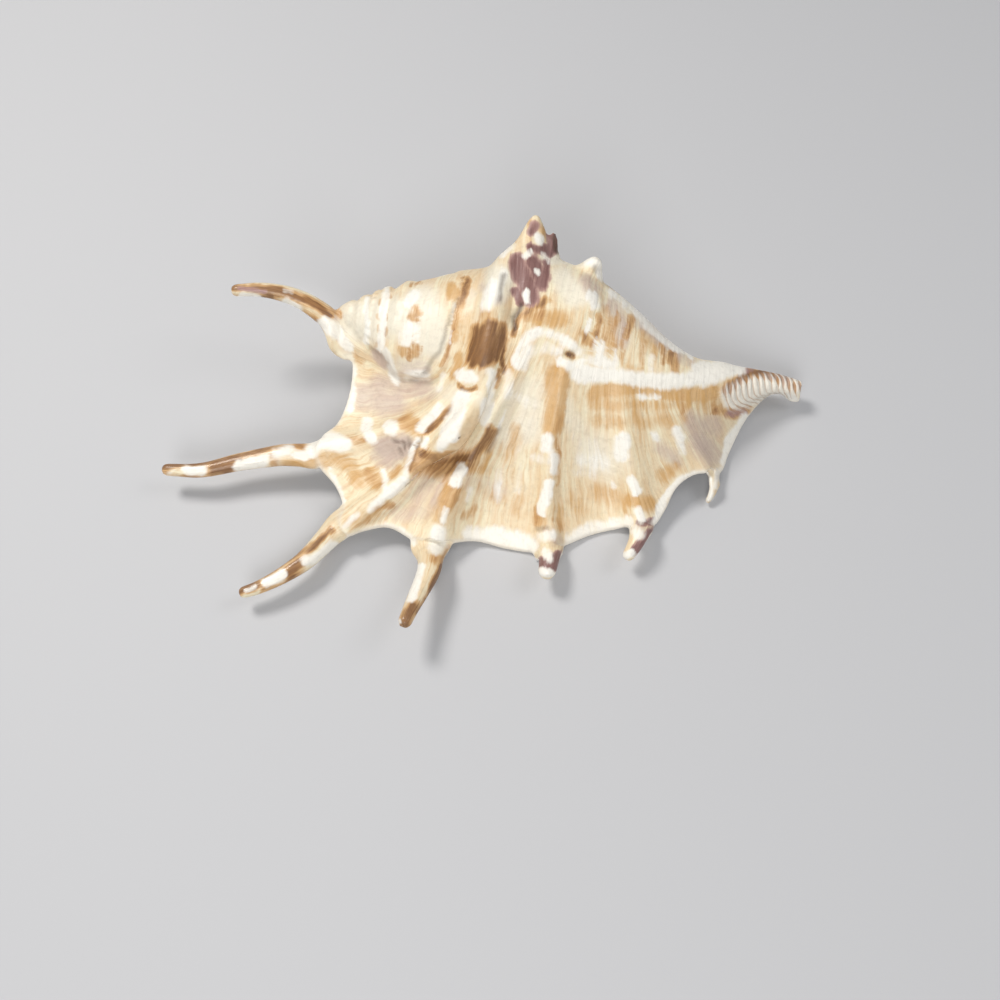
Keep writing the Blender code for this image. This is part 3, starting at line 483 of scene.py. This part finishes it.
def grow_digit(verts, tags, faces, rim, inner_point, side, digit):
    """Carry the open rim at the lip out along the path as tapering rings to a blunt tip."""
    base = np.array([verts[k] for k in rim])
    start = base.mean(0)
    points = [tuple(inner_point), tuple(start)] + digit[2]
    steps = np.linalg.norm(np.diff(np.asarray(points), axis=0), axis=1)
    t0 = steps[0] / steps.sum()
    length = steps[1:].sum()
    ahead, across, up = frame_at(points, t0, side)
    rel = base - start
    y, z, a = rel @ across, rel @ up, rel @ ahead
    flat = np.column_stack([y / np.abs(y).max(), z / np.abs(z).max()])
    turned = np.unwrap(np.arctan2(flat[:, 1], flat[:, 0]))
    gone = np.cumsum(np.linalg.norm(np.roll(flat, -1, axis=0) - flat, axis=1))
    share = np.append(0, gone[:-1]) / gone[-1]
    angle = turned[0] + np.sign(turned[-1] - turned[0]) * 2 * math.pi * share
    across_r, up_r, tip_r = digit[3:]
    rings = []
    for k in range(1, DIGIT_RINGS + 1):
        x = k / DIGIT_RINGS
        t = t0 + (1 - t0) * x
        ahead, across, up = frame_at(points, t, side)
        ra = across_r + (tip_r - across_r) * x ** 0.8
        rb = up_r + (tip_r - up_r) * x ** 0.8
        w = ramp(x * length, 0.0, min(BLEND, 0.6 * length))
        yy = y * (1 - w) + ra * np.cos(angle) * w
        zz = z * (1 - w) + rb * np.sin(angle) * w
        ring = along_path(points, t) + np.outer(yy, across) + np.outer(zz, up)
        rings.append(ring + np.outer(a * (1 - w), ahead))
    end = along_path(points, 1.0)
    round_off = np.outer(np.cos(angle), across) + np.outer(np.sin(angle), up)
    rings.append(end + ahead * tip_r * 0.55 + 0.68 * tip_r * round_off)
    base_tags = np.array([tags[k] for k in rim])
    last = rim
    for n, ring in enumerate(rings):
        now = list(range(len(verts), len(verts) + len(rim)))
        verts.extend(ring.tolist())
        out = length * min(1.0, (n + 1) / DIGIT_RINGS)
        carried = base_tags.copy()
        carried[:, RUN] += out
        carried[:, SPACING] = DIGIT_SPACING
        carried[:, INSIDE] *= 1 - 0.85 * ramp(out, 2, 12)
        carried[:, RIM] *= 1 - ramp(out, 0, 3)
        carried[:, DIGIT] = ramp(out, 0, 8)
        tags.extend(carried.tolist())
        for k in range(len(rim)):
            j = (k + 1) % len(rim)
            faces.append((last[k], now[k], now[j], last[j]))
        last = now
    verts.append((end + ahead * tip_r * 0.75).tolist())
    tags.append(tags[last[0]])
    for k in range(len(rim)):
        faces.append((last[k], len(verts) - 1, last[(k + 1) % len(rim)]))


# what each corner carries: its line, millimetres from the top of the coil along it, width of the lines there,
# and shares for the inner side, the rim, the depth within and the digits
LINE, RUN, SPACING, INSIDE, RIM, DEEP, DIGIT = range(7)


def body_mesh(lines, places):
    """Corners, tags and faces of the coil with its flare and digits."""
    lines = np.asarray(lines, float)
    line, q = np.meshgrid(lines, np.asarray(places, float), indexing="ij")
    outer, inner = wall_sides(line, q)
    m = len(places) - 1
    count = 2 * m
    loops = np.concatenate([outer, inner[:, m - 1:0:-1]], 1)
    loops[..., 2] = np.maximum(loops[..., 2], 0.0)
    verts = loops.reshape(-1, 3).tolist()

    base = skin(line, q)
    steps = np.linalg.norm(np.diff(base, axis=1), axis=-1)
    run = np.concatenate([np.zeros((len(lines), 1)), np.cumsum(steps, axis=1)], 1)
    top = int(np.argmin(abs(np.asarray(places) - 1.0)))
    run = run - run[:, top:top + 1]
    ahead = skin(np.minimum(line + 0.5, LAST_LINE), q)
    behind = skin(np.maximum(line - 0.5, FIRST_LINE), q)
    spacing = np.linalg.norm(ahead - behind, axis=-1)
    to_edge = run[:, -1:] - run
    none, full = np.zeros_like(q), np.ones_like(q)
    rim_outside = np.exp(-(to_edge / RIM_OUTSIDE) ** 2)
    rim_within = np.exp(-(to_edge / RIM_WITHIN) ** 2)
    outside = np.stack([line, run, spacing, none, rim_outside, none, none], -1)
    within = np.stack([line, run, spacing, full, rim_within, ramp(to_edge, *DEEP_BETWEEN), none], -1)
    outside[:, 0, INSIDE] = 0.7
    tags = np.concatenate([outside, within[:, m - 1:0:-1]], 1).reshape(-1, DIGIT + 1).tolist()

    def at(i, j):
        return i * count + j % count

    spans = []
    for digit in DIGITS.values():
        first = int(np.argmin(abs(lines - digit[0])))
        last = int(np.argmin(abs(lines - digit[1])))
        spans.append((first, last, digit))
    faces = []
    for i in range(len(lines) - 1):
        for j in range(count):
            root = m - ROOT_ROWS <= j < m + ROOT_ROWS
            if root and any(first <= i < last for first, last, digit in spans):
                continue
            faces.append((at(i, j), at(i, j + 1), at(i + 1, j + 1), at(i + 1, j)))
    for end in (0, len(lines) - 1):
        for j in range(m):
            face = [at(end, j), at(end, j + 1), at(end, count - j - 1), at(end, count - j)]
            face = list(dict.fromkeys(face))
            faces.append(tuple(face[::-1]) if end == 0 else tuple(face))
    for first, last, digit in spans:
        top, low = m - ROOT_ROWS, m + ROOT_ROWS
        rim = [at(i, top) for i in range(first, last)]
        rim += [at(last, j) for j in range(top, low)]
        rim += [at(i, low) for i in range(last, first, -1)]
        rim += [at(first, j) for j in range(low, top, -1)]
        behind = [verts[at(i, j)] for i in range(first, last + 1) for j in (top - 2, low + 2)]
        side = unit(np.array(verts[at(last, m)]) - np.array(verts[at(first, m)]))
        grow_digit(verts, tags, faces, rim, np.mean(behind, axis=0), side, digit)
    return verts, tags, faces


def spire_mesh(rings, sides):
    """Hollow cone of drawn-in whorls with beaded keels, open towards the coil."""
    u = np.linspace(SPIRE[0][0], SPIRE[-1][0], rings)
    form = table(u, SPIRE)
    turn = np.linspace(0, 2 * math.pi, sides, endpoint=False)
    verts, tags = [], []
    for i in range(rings):
        v, w, r = form[i]
        for k, a in enumerate(turn):
            out = r
            for keel, width, size, count, lift in KEELS:
                bead = 0.5 + 0.5 * math.cos(count * a + lift)
                out += size * (0.45 + 0.55 * bead) * math.exp(-((u[i] - keel) / width) ** 2)
            for seam, width, depth in SEAMS:
                out -= depth * math.exp(-((u[i] - seam) / width) ** 2)
            verts.append((u[i], v + out * math.cos(a), w + out * math.sin(a)))
            tags.append((u[i], a * WHORL_RADIUS - WHORL_START, 1.0, 0.0, 0.0, 0.0, 0.0))
    hollow = [i for i in range(rings - 1, -1, -1) if form[i][2] > 2.4 * SPIRE_WALL]
    for i in hollow:
        v, w, r = form[i]
        r = (r - SPIRE_WALL) * min(1.0, 0.35 + 0.06 * (i - hollow[-1]))
        for a in turn:
            verts.append((u[i], v + r * math.cos(a), w + r * math.sin(a)))
            tags.append((u[i], a * WHORL_RADIUS - WHORL_START, 1.0, 1.0, 0.0, 1.0, 0.0))
    total = rings + len(hollow)
    faces = []
    for i in range(total - 1):
        for j in range(sides):
            k = (j + 1) % sides
            faces.append((i * sides + j, i * sides + k, (i + 1) * sides + k, (i + 1) * sides + j))
    faces.append(tuple(range(sides))[::-1])
    faces.append(tuple(range((total - 1) * sides, total * sides)))
    return verts, tags, faces


def placed(verts):
    """Metres in the part's own frame."""
    turn = math.radians(TURN_OF_AXIS)
    v = np.asarray(verts, float) / 1000
    x = v[:, 0] * math.cos(turn) + v[:, 1] * math.sin(turn)
    y = -v[:, 0] * math.sin(turn) + v[:, 1] * math.cos(turn)
    return np.column_stack([x, y, v[:, 2]]) + SHIFT


def camera_place():
    """Where the camera stands and which way it looks, in metres."""
    eye = np.array(CAMERA_EYE)
    tip = math.radians(CAMERA_TIP)
    ahead = np.array([0, math.cos(tip), -math.sin(tip)])
    up = np.array([0, math.sin(tip), math.cos(tip)])
    return eye, ahead, up


def in_frame(points):
    """Where points fall in the camera's frame of 1000 by 1000."""
    eye, ahead, up = camera_place()
    rel = points - eye
    depth = rel @ ahead
    scale = FRAME * CAMERA_LENS / SENSOR / depth
    return np.column_stack([FRAME / 2 + rel[:, 0] * scale, FRAME / 2 - (rel @ up) * scale])


def wandered(spots, points):
    """The spots pushed about by smooth noise, so that painted outlines wander."""
    noise.seed_set(WANDER_SEED)
    pushed = np.zeros_like(spots)
    for scale, reach in WANDER:
        for k, p in enumerate(points):
            push = noise.noise_vector(Vector(p) * scale)
            pushed[k] += reach * push[0], reach * push[1]
    return spots + pushed


def stroke(spots, path, half_width):
    """How much of each spot a soft stroke along the path covers."""
    path = np.reshape(path, (-1, 2)).astype(float)
    nearest = np.full(len(spots), 1e9)
    for a, b in zip(path, path[1:]):
        along = b - a
        t = np.clip((spots - a) @ along / max(along @ along, 1e-9), 0, 1)
        away = np.linalg.norm(spots - a - t[:, None] * along, axis=1)
        nearest = np.minimum(nearest, away)
    return 1 - ramp(nearest, STROKE_FULL * half_width, STROKE_END * half_width + STROKE_SOFT)


def mesh_object(name, points, faces):
    mesh = bpy.data.meshes.new(name)
    mesh.from_pydata([tuple(p) for p in points], [], faces)
    mesh.update()
    made = bpy.data.objects.new(name, mesh)
    bpy.context.scene.collection.objects.link(made)
    return made


def pick(*pieces):
    """Select these pieces alone; the first one is the active one."""
    bpy.ops.object.select_all(action="DESELECT")
    for piece in pieces:
        piece.select_set(True)
    bpy.context.view_layer.objects.active = pieces[0]


def apply_all(piece):
    pick(piece)
    for modifier in list(piece.modifiers):
        bpy.ops.object.modifier_apply(modifier=modifier.name)


def corners(mesh):
    points = np.zeros(len(mesh.vertices) * 3)
    mesh.vertices.foreach_get("co", points)
    return points.reshape(-1, 3)


def normals(mesh):
    out = np.zeros(len(mesh.vertices) * 3)
    mesh.vertices.foreach_get("normal", out)
    return out.reshape(-1, 3)


def set_corners(mesh, points):
    mesh.vertices.foreach_set("co", points.astype(np.float32).ravel())
    mesh.update()


def carried_tags(points, loft_points, loft_tags, loft_faces):
    """Each point takes the tags of the place nearest to it on a loft, and how far that is."""
    triangles = []
    for face in loft_faces:
        for k in range(1, len(face) - 1):
            triangles.append((face[0], face[k], face[k + 1]))
    tree = BVHTree.FromPolygons([tuple(p) for p in loft_points], triangles)
    found = [tree.find_nearest(Vector(p)) for p in points]
    spots = np.array([f[0] for f in found])
    owner = np.array([triangles[f[2]] for f in found])
    a, b, c = (loft_points[owner[:, k]] for k in range(3))
    ab, ac, ap = b - a, c - a, spots - a
    d00, d01, d11 = (ab * ab).sum(1), (ab * ac).sum(1), (ac * ac).sum(1)
    d20, d21 = (ap * ab).sum(1), (ap * ac).sum(1)
    under = np.maximum(d00 * d11 - d01 * d01, 1e-20)
    wb = np.clip((d11 * d20 - d01 * d21) / under, 0, 1)
    wc = np.clip((d00 * d21 - d01 * d20) / under, 0, 1 - wb)
    wa = 1 - wb - wc
    mixed = (loft_tags[owner[:, 0]] * wa[:, None] + loft_tags[owner[:, 1]] * wb[:, None]
             + loft_tags[owner[:, 2]] * wc[:, None])
    return mixed, np.linalg.norm(points - spots, axis=1)


def attribute(mesh, name, values):
    made = mesh.attributes.new(name, "FLOAT", "POINT")
    made.data.foreach_set("value", np.asarray(values, np.float32))


# the shell
body_verts, body_tags, body_faces = body_mesh(finer(LINES, LINE_PARTS), finer(PLACES, PLACE_PARTS))
spire_verts, spire_tags, spire_faces = spire_mesh(SPIRE_RINGS, SPIRE_SIDES)
body_points = placed(body_verts)
spire_points = placed(spire_verts)
body_tags = np.array(body_tags)
spire_tags = np.array(spire_tags)

shell = mesh_object("shell_form", body_points, body_faces)
spire = mesh_object("spire_form", spire_points, spire_faces)
for form in (shell, spire):
    pick(form)
    bpy.ops.object.mode_set(mode="EDIT")
    bpy.ops.mesh.select_all(action="SELECT")
    bpy.ops.mesh.normals_make_consistent(inside=False)
    bpy.ops.object.mode_set(mode="OBJECT")
pick(shell, spire)
bpy.ops.object.join()
shell.name = "shell_surface"

one_skin = shell.modifiers.new("one skin", "REMESH")
one_skin.mode = "VOXEL"
one_skin.voxel_size = GRAIN
evened = shell.modifiers.new("evened", "SMOOTH")
evened.factor = 0.5
evened.iterations = 3
apply_all(shell)
fewer = shell.modifiers.new("fewer faces", "DECIMATE")
fewer.ratio = min(1.0, MOST_FACES / (2.0 * len(shell.data.polygons)))
apply_all(shell)

mesh = shell.data
points = corners(mesh)
tags, from_body = carried_tags(points, body_points, body_tags, body_faces)
spire_side, from_spire = carried_tags(points, spire_points, spire_tags, spire_faces)
on_spire = from_spire + SPIRE_LEAVE < from_body
tags[on_spire] = spire_side[on_spire]

# where the spire sinks into the coil the two skins meet at a slant; the steps there are evened out
meeting = shell.vertex_groups.new(name="meeting")
apart = np.abs(from_body - from_spire) + 0.5 * np.minimum(from_body, from_spire)
nearness = 1 - ramp(apart, *MEETING_BETWEEN)
for k in np.nonzero(nearness > 0.01)[0]:
    meeting.add([int(k)], float(nearness[k]), "REPLACE")
softened = shell.modifiers.new("softened", "SMOOTH")
softened.factor = 0.5
softened.iterations = 24
softened.vertex_group = "meeting"
apply_all(shell)
points = corners(mesh)

facing = normals(mesh)
eye = camera_place()[0]
to_eye = unit(eye - points)
seen = (facing * to_eye).sum(1)
by_spire = 1 - ramp(from_spire, 0.001, 0.004)
tags[:, INSIDE] *= 1 - by_spire * ramp(seen, 0.1, 0.4)
tags[:, RIM] *= 1 - by_spire * ramp(seen, 0.1, 0.4)
outer_share = 1 - ramp(tags[:, INSIDE], 0.25, 0.6)
paintable = outer_share * ramp(seen, -0.55, -0.2)
spots = wandered(in_frame(points), points)
painted = {}
for mark, strokes in MARKS.items():
    cover = np.zeros(len(points))
    for strength, half_width, *path in strokes:
        cover = np.maximum(cover, strength * stroke(spots, path, half_width))
    painted[mark] = cover * paintable
laid_on = np.zeros(len(points))
for height, half_width, *path in LAID_ON:
    laid_on += 0.001 * height * stroke(spots, path, half_width) * paintable
for name, column in (("line", LINE), ("run", RUN), ("inside", INSIDE), ("rim", RIM), ("deep", DEEP),
                     ("digit", DIGIT)):
    attribute(mesh, name, tags[:, column])
attribute(mesh, "spread", np.log2(np.clip(tags[:, SPACING], 0.3, 12)))
attribute(mesh, "placed_by_hand", ramp(seen, -0.35, 0.15) * outer_share)
# the relief is stilled where the cords of the body and those of the spire meet
attribute(mesh, "seam", 1 - ramp(np.abs(from_spire + SPIRE_LEAVE - from_body), *SEAM_BETWEEN))
for mark, cover in painted.items():
    attribute(mesh, mark, cover)

# the hollows marked with painted shade are also sunk a little
raised = points + facing * (laid_on - painted["shade_in_hollows"] * DARK_DEPTH)[:, None]
raised = np.clip(raised, np.array(cad_low), np.array(cad_high))
set_corners(mesh, raised)
for face in mesh.polygons:
    face.use_smooth = True


# finish
class Nodes:
    """Short hand for wiring a node tree."""

    def __init__(self, tree):
        self.tree = tree
        self.x = 0

    def add(self, kind, **settings):
        node = self.tree.nodes.new(kind)
        node.location = (self.x, -len(self.tree.nodes) * 40)
        self.x += 60
        for key, value in settings.items():
            setattr(node, key, value)
        return node

    def put(self, socket, value):
        if isinstance(value, bpy.types.NodeSocket):
            self.tree.links.new(value, socket)
        else:
            socket.default_value = value

    def maths(self, operation, a, b=0.0, c=0.0, clamp=False):
        node = self.add("ShaderNodeMath", operation=operation, use_clamp=clamp)
        for socket, value in zip(node.inputs, (a, b, c)):
            self.put(socket, value)
        return node.outputs[0]

    def times(self, a, b):
        return self.maths("MULTIPLY", a, b)

    def value(self, name):
        return self.add("ShaderNodeAttribute", attribute_name=name).outputs["Fac"]

    def vector(self, x, y, z=0.0):
        node = self.add("ShaderNodeCombineXYZ")
        for socket, value in zip(node.inputs, (x, y, z)):
            self.put(socket, value)
        return node.outputs[0]

    def noise(self, vector, scale, detail=3.0, rough=0.55, distortion=0.0):
        node = self.add("ShaderNodeTexNoise")
        self.put(node.inputs["Vector"], vector)
        self.put(node.inputs["Scale"], scale)
        self.put(node.inputs["Detail"], detail)
        self.put(node.inputs["Roughness"], rough)
        self.put(node.inputs["Distortion"], distortion)
        return node.outputs["Fac"]

    def between(self, value, low, high):
        node = self.add("ShaderNodeMapRange", interpolation_type="SMOOTHSTEP")
        for key, given in (("Value", value), ("From Min", low), ("From Max", high)):
            self.put(node.inputs[key], given)
        return node.outputs["Result"]

    def mixed(self, share, a, b):
        node = self.add("ShaderNodeMix", data_type="FLOAT")
        self.put(node.inputs["Factor"], share)
        self.put(node.inputs[2], a)
        self.put(node.inputs[3], b)
        return node.outputs[0]

    def blend(self, share, a, b):
        node = self.add("ShaderNodeMix", data_type="RGBA")
        self.put(node.inputs["Factor"], share)
        for socket, value in ((node.inputs[6], a), (node.inputs[7], b)):
            self.put(socket, value if isinstance(value, bpy.types.NodeSocket) else (*value, 1.0))
        return node.outputs[2]


CREAM = (0.86, 0.77, 0.55)
PEACH_CREAM = (0.78, 0.59, 0.37)
GOLD = (0.66, 0.40, 0.17)
ORANGE = (0.60, 0.33, 0.10)
TAN = (0.50, 0.26, 0.10)
BROWN = (0.28, 0.12, 0.03)
DARK_BROWN = (0.17, 0.068, 0.018)
ROSE_BROWN = (0.42, 0.24, 0.21)
WINE_LIGHT = (0.24, 0.115, 0.11)
WINE_COLOUR = (0.16, 0.06, 0.06)
CHALK = (0.93, 0.90, 0.82)
MAUVE = (0.55, 0.43, 0.38)
OYSTER = (0.84, 0.79, 0.66)
SHADE = (0.07, 0.035, 0.02)
IVORY = (0.88, 0.82, 0.71)
PEACH = (0.78, 0.50, 0.33)
ROSE = (0.66, 0.38, 0.27)


def shell_finish():
    material = bpy.data.materials.new("spider conch finish")
    material.use_nodes = True
    tree = material.node_tree
    principled = tree.nodes["Principled BSDF"]
    n = Nodes(tree)
    line, run, spread = n.value("line"), n.value("run"), n.value("spread")
    inside, rim, deep, digit = n.value("inside"), n.value("rim"), n.value("deep"), n.value("digit")
    by_hand = n.value("placed_by_hand")
    place = n.add("ShaderNodeTexCoord").outputs["Object"]

    # cords: waves across the lines, with finer ones let in where the lines spread apart
    wander = n.noise(n.vector(n.times(line, 0.35), n.times(run, 0.10)), 1.0, 2.0)
    bent = n.maths("ADD", line, n.times(n.maths("SUBTRACT", wander, 0.5), 1.3))

    def by_spread(made, lows):
        """Hand over from one octave to the next as the lines spread apart."""
        out = made[0]
        for finer_one, low in zip(made[1:], lows):
            out = n.mixed(n.between(spread, low, low + 0.9), out, finer_one)
        return out

    lows = (-0.9, 0.1, 1.1)
    waves = []
    for rate in (0.36, 0.72, 1.44, 2.88):
        turn = n.maths("COSINE", n.times(bent, 2 * math.pi * rate))
        waves.append(n.maths("MULTIPLY_ADD", turn, 0.5, 0.5))
    cord = by_spread(waves, lows)

    # streaks that follow the cords, long ripples of growth across them, and specks
    broad = []
    fine = []
    for k, rate in enumerate((0.30, 0.60, 1.20, 2.40)):
        across = n.times(bent, rate)
        broad.append(n.noise(n.vector(across, n.times(run, 0.045), 3.0 + k), 1.0, 3.0, 0.6))
        across = n.times(bent, rate * 2.0)
        fine.append(n.noise(n.vector(across, n.times(run, 0.13), 9.0 + k), 1.0, 3.0, 0.6))
    streak = by_spread(broad, lows)
    fine_streak = by_spread(fine, lows)
    along = n.vector(n.times(line, 0.05), n.times(run, 0.9), 5.0)
    ripple = n.noise(along, 1.0, 3.0, 0.6)
    cloud = n.noise(place, 55.0, 3.0, 0.55)
    patchy = n.noise(place, 120.0, 2.0, 0.5)
    speck = n.noise(place, 700.0, 2.0, 0.6)
    broken = n.maths("MULTIPLY_ADD", streak, 0.55, n.times(fine_streak, 0.45))
    ribbed = n.times(n.maths("SUBTRACT", 1.0, cord), n.between(patchy, 0.35, 0.65))

    # ground: cream with warmer streaks and clouds, and a little colour in the grooves
    ground = n.blend(n.between(streak, 0.36, 0.68), CREAM, PEACH_CREAM)
    ground = n.blend(n.times(n.between(fine_streak, 0.47, 0.70), 0.55), ground, GOLD)
    ground = n.blend(n.times(n.between(cloud, 0.46, 0.68), 0.45), ground, PEACH_CREAM)
    ground = n.blend(n.times(ribbed, 0.16), ground, GOLD)

    # where no listed mark is placed the brown flames and white blotches come from broad noise
    flames = n.vector(n.times(line, 0.12), n.times(run, 0.045), 21.0)
    wild = n.noise(flames, 1.0, 4.0, 0.6, 0.6)
    free = n.maths("SUBTRACT", 1.0, by_hand)
    outer = n.maths("SUBTRACT", 1.0, inside, clamp=True)
    free = n.times(free, outer)
    free_brown = n.times(n.between(wild, 0.53, 0.68), free)
    free_white = n.times(n.between(wild, 0.47, 0.34), free)
    free_orange = n.times(n.between(cloud, 0.48, 0.6), free)

    def frayed(name, extra=None, fray=1.3):
        """How strong a mark is, its edge frayed along the cords."""
        amount = n.value(name)
        if extra is not None:
            amount = n.maths("MAXIMUM", amount, n.times(extra, 0.8))
        worn = n.times(n.maths("SUBTRACT", broken, 0.5), fray)
        worn = n.maths("MULTIPLY_ADD", n.maths("SUBTRACT", patchy, 0.5), 0.5, worn)
        gate = n.between(amount, 0.02, 0.25)
        return n.times(n.maths("ADD", amount, worn), gate)

    def laid(name, low, high, extra=None, fray=1.3):
        """The share of a mark's colour between two strengths."""
        return n.between(frayed(name, extra, fray), low, high)

    def sometimes(light_one, dark_one):
        """One colour that deepens along its streaks."""
        return n.blend(n.between(broken, 0.40, 0.62), light_one, dark_one)

    # pale areas, over the tall knob also painted highlight
    colour = n.blend(n.times(laid("pale", 0.1, 0.9, None, 0.8), 0.85), ground, OYSTER)
    # lilac grey, in a few places painted shade
    colour = n.blend(n.times(laid("lilac", 0.1, 0.9, None, 1.2), 0.80), colour, MAUVE)
    golden = n.times(laid("amber", 0.1, 0.85, free_orange), 0.85)
    colour = n.blend(golden, colour, sometimes(GOLD, ORANGE))
    # brown marks; under the bulge on the wing and beside the tall knob they are partly painted shadow
    tan = frayed("brown", free_brown)
    deepened = n.blend(n.between(tan, 0.50, 0.95), sometimes(GOLD, TAN), sometimes(BROWN, DARK_BROWN))
    colour = n.blend(n.times(n.between(tan, 0.12, 0.62), 0.95), colour, deepened)
    reddish = frayed("wine")
    deepened = n.blend(n.between(reddish, 0.35, 0.8), ROSE_BROWN, sometimes(WINE_LIGHT, WINE_COLOUR))
    colour = n.blend(n.times(n.between(reddish, 0.10, 0.50), 0.95), colour, deepened)
    # white blotches, on the crests and knobs also painted highlight
    white = laid("white", 0.22, 0.86, free_white, 1.7)
    colour = n.blend(n.times(white, 0.92), colour, CHALK)

    # on the canal the cords are white and the grooves between them dark
    stripes = laid("banding", 0.2, 0.7, None, 0.5)
    slanted = n.maths("MULTIPLY_ADD", run, -0.3, bent)
    slanted = n.maths("MULTIPLY_ADD", patchy, 1.6, slanted)
    wide_turn = n.maths("COSINE", n.times(slanted, 2 * math.pi * 0.58))
    wide_cord = n.maths("MULTIPLY_ADD", wide_turn, 0.5, 0.5)
    darker = n.value("brown")
    worn = n.maths("MULTIPLY_ADD", patchy, 0.5, n.times(darker, 0.8))
    striped = n.blend(n.between(wide_cord, n.maths("SUBTRACT", worn, 0.40), n.maths("ADD", worn, 0.02)),
                      sometimes(MAUVE, TAN), CHALK)
    colour = n.blend(n.times(stripes, 0.75), colour, striped)
    # dark lines in the grooves, along the suture and in the pits: mostly painted shade
    colour = n.blend(n.times(n.value("shade_in_hollows"), 0.85), colour, SHADE)

    # the glazed inner side, ivory at the lip and warmer within
    glaze = n.blend(n.between(deep, 0.05, 0.6), IVORY, PEACH)
    glaze = n.blend(n.times(n.between(cloud, 0.42, 0.7), n.between(deep, 0.2, 0.8)), glaze, ROSE)
    under = n.times(digit, n.between(wild, 0.48, 0.6))
    glaze = n.blend(n.times(under, 0.7), glaze, BROWN)
    smooth_side = n.between(inside, 0.25, 0.75)
    colour = n.blend(smooth_side, colour, glaze)
    rim_share = n.times(rim, n.maths("SUBTRACT", 1.0, digit, clamp=True))
    colour = n.blend(n.times(rim_share, 0.85), colour, IVORY)
    colour = n.blend(n.times(n.between(speck, 0.45, 0.75), 0.10), colour, SHADE)
    tree.links.new(colour, principled.inputs["Base Color"])

    rough = n.maths("MULTIPLY_ADD", fine_streak, 0.24, 0.30)
    rough = n.maths("MULTIPLY_ADD", speck, 0.12, rough)
    rough = n.maths("SUBTRACT", rough, n.times(smooth_side, 0.20))
    tree.links.new(rough, principled.inputs["Roughness"])
    coat = n.maths("MULTIPLY_ADD", smooth_side, 0.5, n.times(digit, 0.25))
    tree.links.new(coat, principled.inputs["Coat Weight"])
    principled.inputs["Coat Roughness"].default_value = 0.12
    principled.inputs["IOR"].default_value = 1.53

    # surface: rounded cords, ripples of growth, wrinkles and pits
    calm = n.maths("SUBTRACT", 1.0, n.maths("MAXIMUM", smooth_side, n.value("seam")))
    low_cord = n.times(cord, n.times(n.between(patchy, 0.3, 0.7), 0.045))
    height = n.maths("MULTIPLY_ADD", wide_cord, n.times(stripes, 0.22), low_cord)
    height = n.maths("MULTIPLY_ADD", ripple, 0.12, height)
    height = n.maths("MULTIPLY_ADD", streak, 0.26, height)
    height = n.maths("MULTIPLY_ADD", fine_streak, 0.09, height)
    height = n.maths("MULTIPLY_ADD", speck, 0.035, height)
    height = n.times(n.maths("SUBTRACT", height, 0.26), calm)
    height = n.maths("ADD", height, n.times(n.times(cloud, 0.25), smooth_side))
    bump = n.add("ShaderNodeBump")
    bump.inputs["Strength"].default_value = 1.0
    bump.inputs["Distance"].default_value = 0.001
    tree.links.new(height, bump.inputs["Height"])
    tree.links.new(bump.outputs["Normal"], principled.inputs["Normal"])
    return material


mesh.materials.clear()
mesh.materials.append(shell_finish())
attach(shell, "root")
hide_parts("shell")

# floor, light and camera
bpy.ops.object.select_all(action="DESELECT")
bpy.ops.mesh.primitive_plane_add(size=6.0, location=(0, 0, -0.0002))
floor = bpy.context.active_object
floor.name = "floor"
floor_finish = bpy.data.materials.new("pale floor")
floor_finish.use_nodes = True
floor_shader = floor_finish.node_tree.nodes["Principled BSDF"]
floor_shader.inputs["Base Color"].default_value = (0.52, 0.52, 0.53, 1)
floor_shader.inputs["Roughness"].default_value = 0.65
floor.data.materials.append(floor_finish)


def soft_box(name, place, aim, size, power, tint=(1, 1, 1)):
    light = bpy.data.lights.new(name, "AREA")
    light.shape = "DISK"
    light.size = size
    light.energy = power
    light.color = tint
    holder = bpy.data.objects.new(name, light)
    holder.location = place
    holder.rotation_euler = (Vector(aim) - Vector(place)).to_track_quat("-Z", "Y").to_euler()
    bpy.context.scene.collection.objects.link(holder)


soft_box("key", (-0.32, 0.24, 0.60), (0, 0, 0.02), 0.22, 3.2, (1.0, 0.98, 0.95))
soft_box("side", (0.50, 0.10, 0.55), (0, 0, 0.02), 0.35, 0.9, (0.97, 0.98, 1.0))
soft_box("front", (-0.10, -0.60, 0.50), (0, 0, 0.02), 0.40, 3.0)
world = bpy.data.worlds.new("studio")
bpy.context.scene.world = world
world.use_nodes = True
world.node_tree.nodes["Background"].inputs["Color"].default_value = (0.95, 0.97, 1.0, 1)
world.node_tree.nodes["Background"].inputs["Strength"].default_value = 0.28

eye, ahead, up = camera_place()
camera_data = bpy.data.cameras.new("camera")
camera_data.lens = CAMERA_LENS
camera_data.sensor_width = SENSOR
camera_data.clip_start = 0.01
camera = bpy.data.objects.new("camera", camera_data)
side = np.cross(ahead, up)
camera.matrix_world = Matrix((
    (side[0], up[0], -ahead[0], eye[0]), (side[1], up[1], -ahead[1], eye[1]),
    (side[2], up[2], -ahead[2], eye[2]), (0, 0, 0, 1)))
bpy.context.scene.collection.objects.link(camera)
bpy.context.scene.camera = camera
bpy.context.scene.view_settings.view_transform = "Standard"
